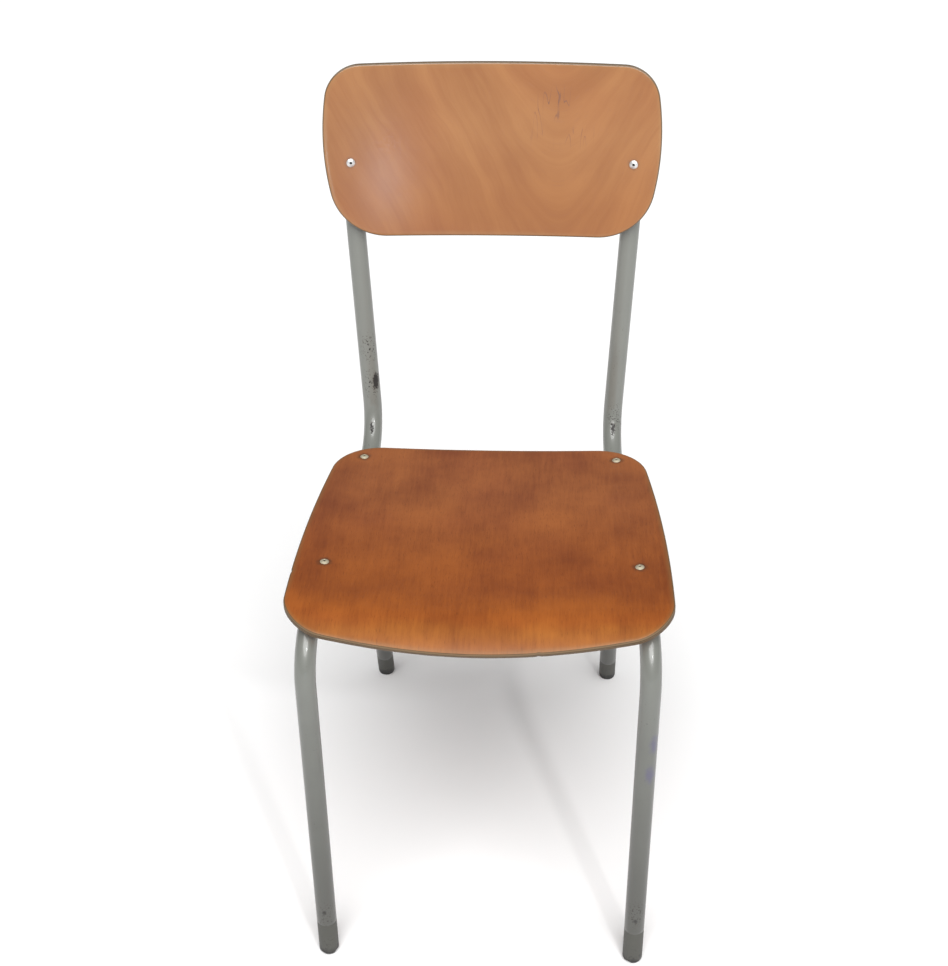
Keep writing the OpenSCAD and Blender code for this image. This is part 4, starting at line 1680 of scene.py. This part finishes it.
def filled_square(loop, count):
    """A grid of points that fills a loop of 4 x count points, by blending its sides."""
    closed = np.concatenate([loop, loop[:1]])
    bottom = closed[: count + 1]
    right = closed[count : 2 * count + 1]
    top = closed[2 * count : 3 * count + 1][::-1]
    left = closed[3 * count : 4 * count + 1][::-1]
    u = np.linspace(0, 1, count + 1)[None, :, None]
    v = np.linspace(0, 1, count + 1)[:, None, None]
    ruled = (1 - v) * bottom[None] + v * top[None] + (1 - u) * left[:, None] + u * right[:, None]
    corners = (1 - u) * (1 - v) * bottom[0] + u * (1 - v) * bottom[-1]
    corners = corners + (1 - u) * v * top[0] + u * v * top[-1]
    return ruled - corners


def rim_rows(ply, edge_r, wall_rows=6, round_rows=5):
    """(inset, depth) of each row round a board's rounded edge, from face to face."""
    turns = np.linspace(0, math.pi / 2, round_rows + 1)
    top = [(edge_r * (1 - math.sin(a)), edge_r * (1 - math.cos(a))) for a in turns]
    wall = [(0.0, d) for d in np.linspace(edge_r, ply - edge_r, wall_rows + 1)[1:-1]]
    bottom = [(inset, ply - depth) for inset, depth in reversed(top)]
    return top[1:] + wall + bottom[:-1]


def board_faces(count, rows):
    """Quads of a board's two filled faces and of the rows of points that join them."""
    wide = count + 1
    around = 4 * count
    index = np.arange(wide * wide).reshape(wide, wide)
    ring = np.concatenate([index[0, :-1], index[:-1, -1], index[-1, :0:-1], index[:0:-1, 0]])
    below = wide * wide + rows * around
    faces = []
    for j in range(count):
        for i in range(count):
            quad = [index[j, i], index[j, i + 1], index[j + 1, i + 1], index[j + 1, i]]
            faces.append(quad)
            faces.append([below + k for k in reversed(quad)])
    loops = [ring]
    loops += [wide * wide + row * around + np.arange(around) for row in range(rows)]
    loops.append(ring + below)
    for upper, lower in zip(loops, loops[1:]):
        for i in range(around):
            j = (i + 1) % around
            faces.append([upper[i], lower[i], lower[j], upper[j]])
    return [[int(k) for k in face] for face in faces]


def board_mesh(name, sides, place, ply, edge_r, nicks=(), count=112):
    """A closed board of quads: two filled faces joined by rows round a rounded edge."""
    outline = np.concatenate([evenly(side, count) for side in sides])
    inside = inward(outline)
    for spot, reach, depth in nicks:
        near = np.exp(-((np.linalg.norm(outline - spot, axis=1) / reach) ** 2))
        outline = outline + inside * (near * depth)[:, None]
    face = filled_square(outline + inside * edge_r, count)
    flat = face.reshape(-1, 2)
    off = np.array([np.linalg.norm(outline - p, axis=1).min() for p in flat])
    points = [place(flat, 0.0)]
    rims, depths = [off], [np.zeros(len(flat))]
    rows = rim_rows(ply, edge_r)
    for inset, depth in rows:
        points.append(place(outline + inside * inset, depth))
        rims.append(np.full(len(outline), inset))
        depths.append(np.full(len(outline), depth))
    points.append(place(flat, ply))
    rims.append(off)
    depths.append(np.full(len(flat), ply))
    mesh = mesh_from(name, np.concatenate(points), board_faces(count, len(rows)))
    for key, values in (("rim", rims), ("depth", depths)):
        stored = mesh.attributes.new(key, "FLOAT", "POINT")
        stored.data.foreach_set("value", np.concatenate(values).astype(np.float32))
    face_outwards(mesh, merge=False)
    mesh.shade_smooth()
    return mesh


class CHAIR_OT_seat(bpy.types.Operator):
    """Builds the dished seat board with its bent front lip and rounded plywood edge"""

    bl_idname = "chair.seat"
    bl_label = "Seat"

    def execute(self, context):
        scene = context.scene
        s = scene.chair_boards
        seat = seat_place(scene)
        lip_start = seat.front + s.lip_r * math.sin(s.lip_angle)
        sides = outline_sides(
            s.seat_w / 2,
            seat.front + s.seat_widest,
            s.seat_side_r,
            seat.front,
            s.seat_front_r,
            seat.front + s.seat_depth,
            s.seat_rear_r,
            s.seat_front_corner_r,
            s.seat_rear_corner_r,
        )

        def place(flat, depth):
            x, y = flat[:, 0], flat[:, 1]
            over = np.clip(lip_start - y, 0, None) / s.lip_r
            inner = s.lip_r - depth
            along = np.maximum(y, lip_start) - inner * over
            reach = s.dish_r + s.lip_r - inner * np.sqrt(1 - over**2)
            drop = np.sqrt(reach**2 - x**2)
            return (
                np.array(seat.centre)
                + np.outer(x, X_AXIS)
                + np.outer(along, seat.back)
                - np.outer(drop, seat.up)
            )

        nicks = (
            (np.array([-s.seat_w / 2, seat.front + 0.108]), 0.0022, 0.0012),
            (np.array([s.seat_w / 2, seat.front + 0.205]), 0.0016, 0.0006),
            (np.array([0.062, seat.front + 0.002]), 0.0020, 0.0005),
        )
        mesh = board_mesh("seat_board", sides, place, s.ply, s.edge_r, nicks)
        mesh.materials.append(material_of("Seat varnish", seat_wood, scene))
        piece = new_object("seat_board", mesh)
        stands_for(piece, "seat_shell")
        return {"FINISHED"}


class CHAIR_OT_backrest(bpy.types.Operator):
    """Builds the curved backrest board with its rounded plywood edge"""

    bl_idname = "chair.backrest"
    bl_label = "Backrest"

    def execute(self, context):
        scene = context.scene
        s = scene.chair_boards
        back = back_place(scene)
        sides = outline_sides(
            s.back_w / 2,
            s.back_widest,
            s.back_side_r,
            -s.back_fall,
            s.back_edge_r,
            s.back_rise,
            s.back_edge_r,
            s.back_bottom_r,
            s.back_top_r,
        )

        def place(flat, depth):
            x, z = flat[:, 0], flat[:, 1]
            drop = np.sqrt((s.back_curve_r + depth) ** 2 - x**2)
            return (
                np.array(back.centre)
                + np.outer(x, X_AXIS)
                + np.outer(z, back.up)
                - np.outer(drop, back.forward)
            )

        nicks = (
            (np.array([0.128, s.back_rise - 0.004]), 0.0020, 0.0006),
            (np.array([-s.back_w / 2, -0.030]), 0.0018, 0.0005),
        )
        mesh = board_mesh("backrest_board", sides, place, s.ply, s.edge_r, nicks, count=100)
        mesh.materials.append(material_of("Backrest varnish", back_wood, scene))
        piece = new_object("backrest_board", mesh)
        stands_for(piece, "backrest_shell")
        return {"FINISHED"}


# ---- Stage ----


def soft_light(name, place, target, size, power):
    """A square area light that faces a point."""
    lamp = bpy.data.lights.new(name, "AREA")
    lamp.energy = power
    lamp.size = size
    holder = new_object(name, lamp)
    holder.location = place
    holder.rotation_euler = (Vector(target) - Vector(place)).to_track_quat("-Z", "Y").to_euler()
    return holder


def studio_camera(scene):
    """The camera, from its turn, tilt and roll."""
    s = scene.chair_stage
    ahead = Vector(
        (
            -math.sin(s.turn) * math.cos(s.tilt),
            math.cos(s.turn) * math.cos(s.tilt),
            -math.sin(s.tilt),
        )
    )
    level = Vector((math.cos(s.turn), math.sin(s.turn), 0))
    down = ahead.cross(level)
    right = level * math.cos(s.roll) + down * math.sin(s.roll)
    below = down * math.cos(s.roll) - level * math.sin(s.roll)
    data = bpy.data.cameras.new("Camera")
    data.lens = s.lens
    camera = new_object("Camera", data)
    matrix = camera.matrix_world.to_3x3()
    matrix.col[0] = right
    matrix.col[1] = -below
    matrix.col[2] = -ahead
    camera.matrix_world = matrix.to_4x4()
    camera.location = s.place
    scene.camera = camera


def floor_finish(scene):
    """Matt pale floor with a faint unevenness."""
    material, n, shader, place = new_material("Studio floor")
    tone = tuple(scene.chair_colours.floor)
    soft = n.noise(place, 1.5, 2.0)
    n.feed(shader.inputs["Base Color"], n.mix(soft, tone, shaded(tone, 0.98)))
    shader.inputs["Roughness"].default_value = 0.9
    shader.inputs["Specular IOR Level"].default_value = 0.1
    return material


def studio_floor(scene):
    """The pale floor, a hair under the feet."""
    s = scene.chair_stage
    half = s.floor_half
    corners = [(-half, -half, 0), (half, -half, 0), (half, half, 0), (-half, half, 0)]
    mesh = mesh_from("studio_floor", corners, [(0, 1, 2, 3)])
    mesh.materials.append(floor_finish(scene))
    floor = new_object("studio_floor", mesh)
    floor.location.z = -s.floor_drop


def studio_light(scene):
    """A broad light from above and in front, a small key light, a window and white surroundings."""
    s = scene.chair_stage
    low, high = CAD_BOX
    middle = (low + high) / 2
    sun = bpy.data.lights.new("Broad light", "SUN")
    sun.energy = s.broad_power
    sun.angle = s.broad_spread
    holder = new_object("Broad light", sun)
    holder.rotation_euler = Vector(s.broad_from).to_track_quat("Z", "Y").to_euler()
    soft_light("Key light", s.key_place, middle, s.key_size, s.key_power)
    window = soft_light("Window light", s.window_place, middle, s.window_size, s.window_power)
    window.data.color = s.window_tone
    world = bpy.data.worlds.new("Studio")
    scene.world = world
    world.use_nodes = True
    background = world.node_tree.nodes["Background"]
    background.inputs["Color"].default_value = (1.0, 1.0, 1.0, 1)
    background.inputs["Strength"].default_value = s.surround


class CHAIR_OT_stage(bpy.types.Operator):
    """Builds the pale floor, the soft studio light and the camera"""

    bl_idname = "chair.stage"
    bl_label = "Studio stage"

    def execute(self, context):
        scene = context.scene
        studio_floor(scene)
        studio_camera(scene)
        studio_light(scene)
        scene.view_settings.view_transform = "Standard"
        return {"FINISHED"}


# ---- Panel and registration ----

OPERATORS = (
    CHAIR_OT_side_tubes,
    CHAIR_OT_rear_legs,
    CHAIR_OT_cross_tubes,
    CHAIR_OT_welds,
    CHAIR_OT_feet,
    CHAIR_OT_foot_pins,
    CHAIR_OT_upright_caps,
    CHAIR_OT_seat,
    CHAIR_OT_backrest,
    CHAIR_OT_rivets,
    CHAIR_OT_broken_stems,
    CHAIR_OT_stage,
)


class CHAIR_PT_panel(bpy.types.Panel):
    """Lists the chair's pieces and their sizes"""

    bl_label = "Stacking chair"
    bl_idname = "CHAIR_PT_panel"
    bl_space_type = "VIEW_3D"
    bl_region_type = "UI"
    bl_category = "Chair"

    def draw(self, context):
        for operator in OPERATORS:
            self.layout.operator(operator.bl_idname)
        for key in GROUPS:
            group = getattr(context.scene, key)
            column = self.layout.column(heading=key)
            for name in group.bl_rna.properties.keys():
                if name not in ("rna_type", "name"):
                    column.prop(group, name)


def register():
    for kind in (*GROUPS.values(), *OPERATORS, CHAIR_PT_panel):
        bpy.utils.register_class(kind)
    for key, kind in GROUPS.items():
        setattr(bpy.types.Scene, key, PointerProperty(type=kind))


def unregister():
    for key in GROUPS:
        delattr(bpy.types.Scene, key)
    for kind in reversed((*GROUPS.values(), *OPERATORS, CHAIR_PT_panel)):
        bpy.utils.unregister_class(kind)


def main():
    register()
    for operator in OPERATORS:
        group, name = operator.bl_idname.split(".")
        getattr(getattr(bpy.ops, group), name)()


if __name__ == "__main__":
    main()
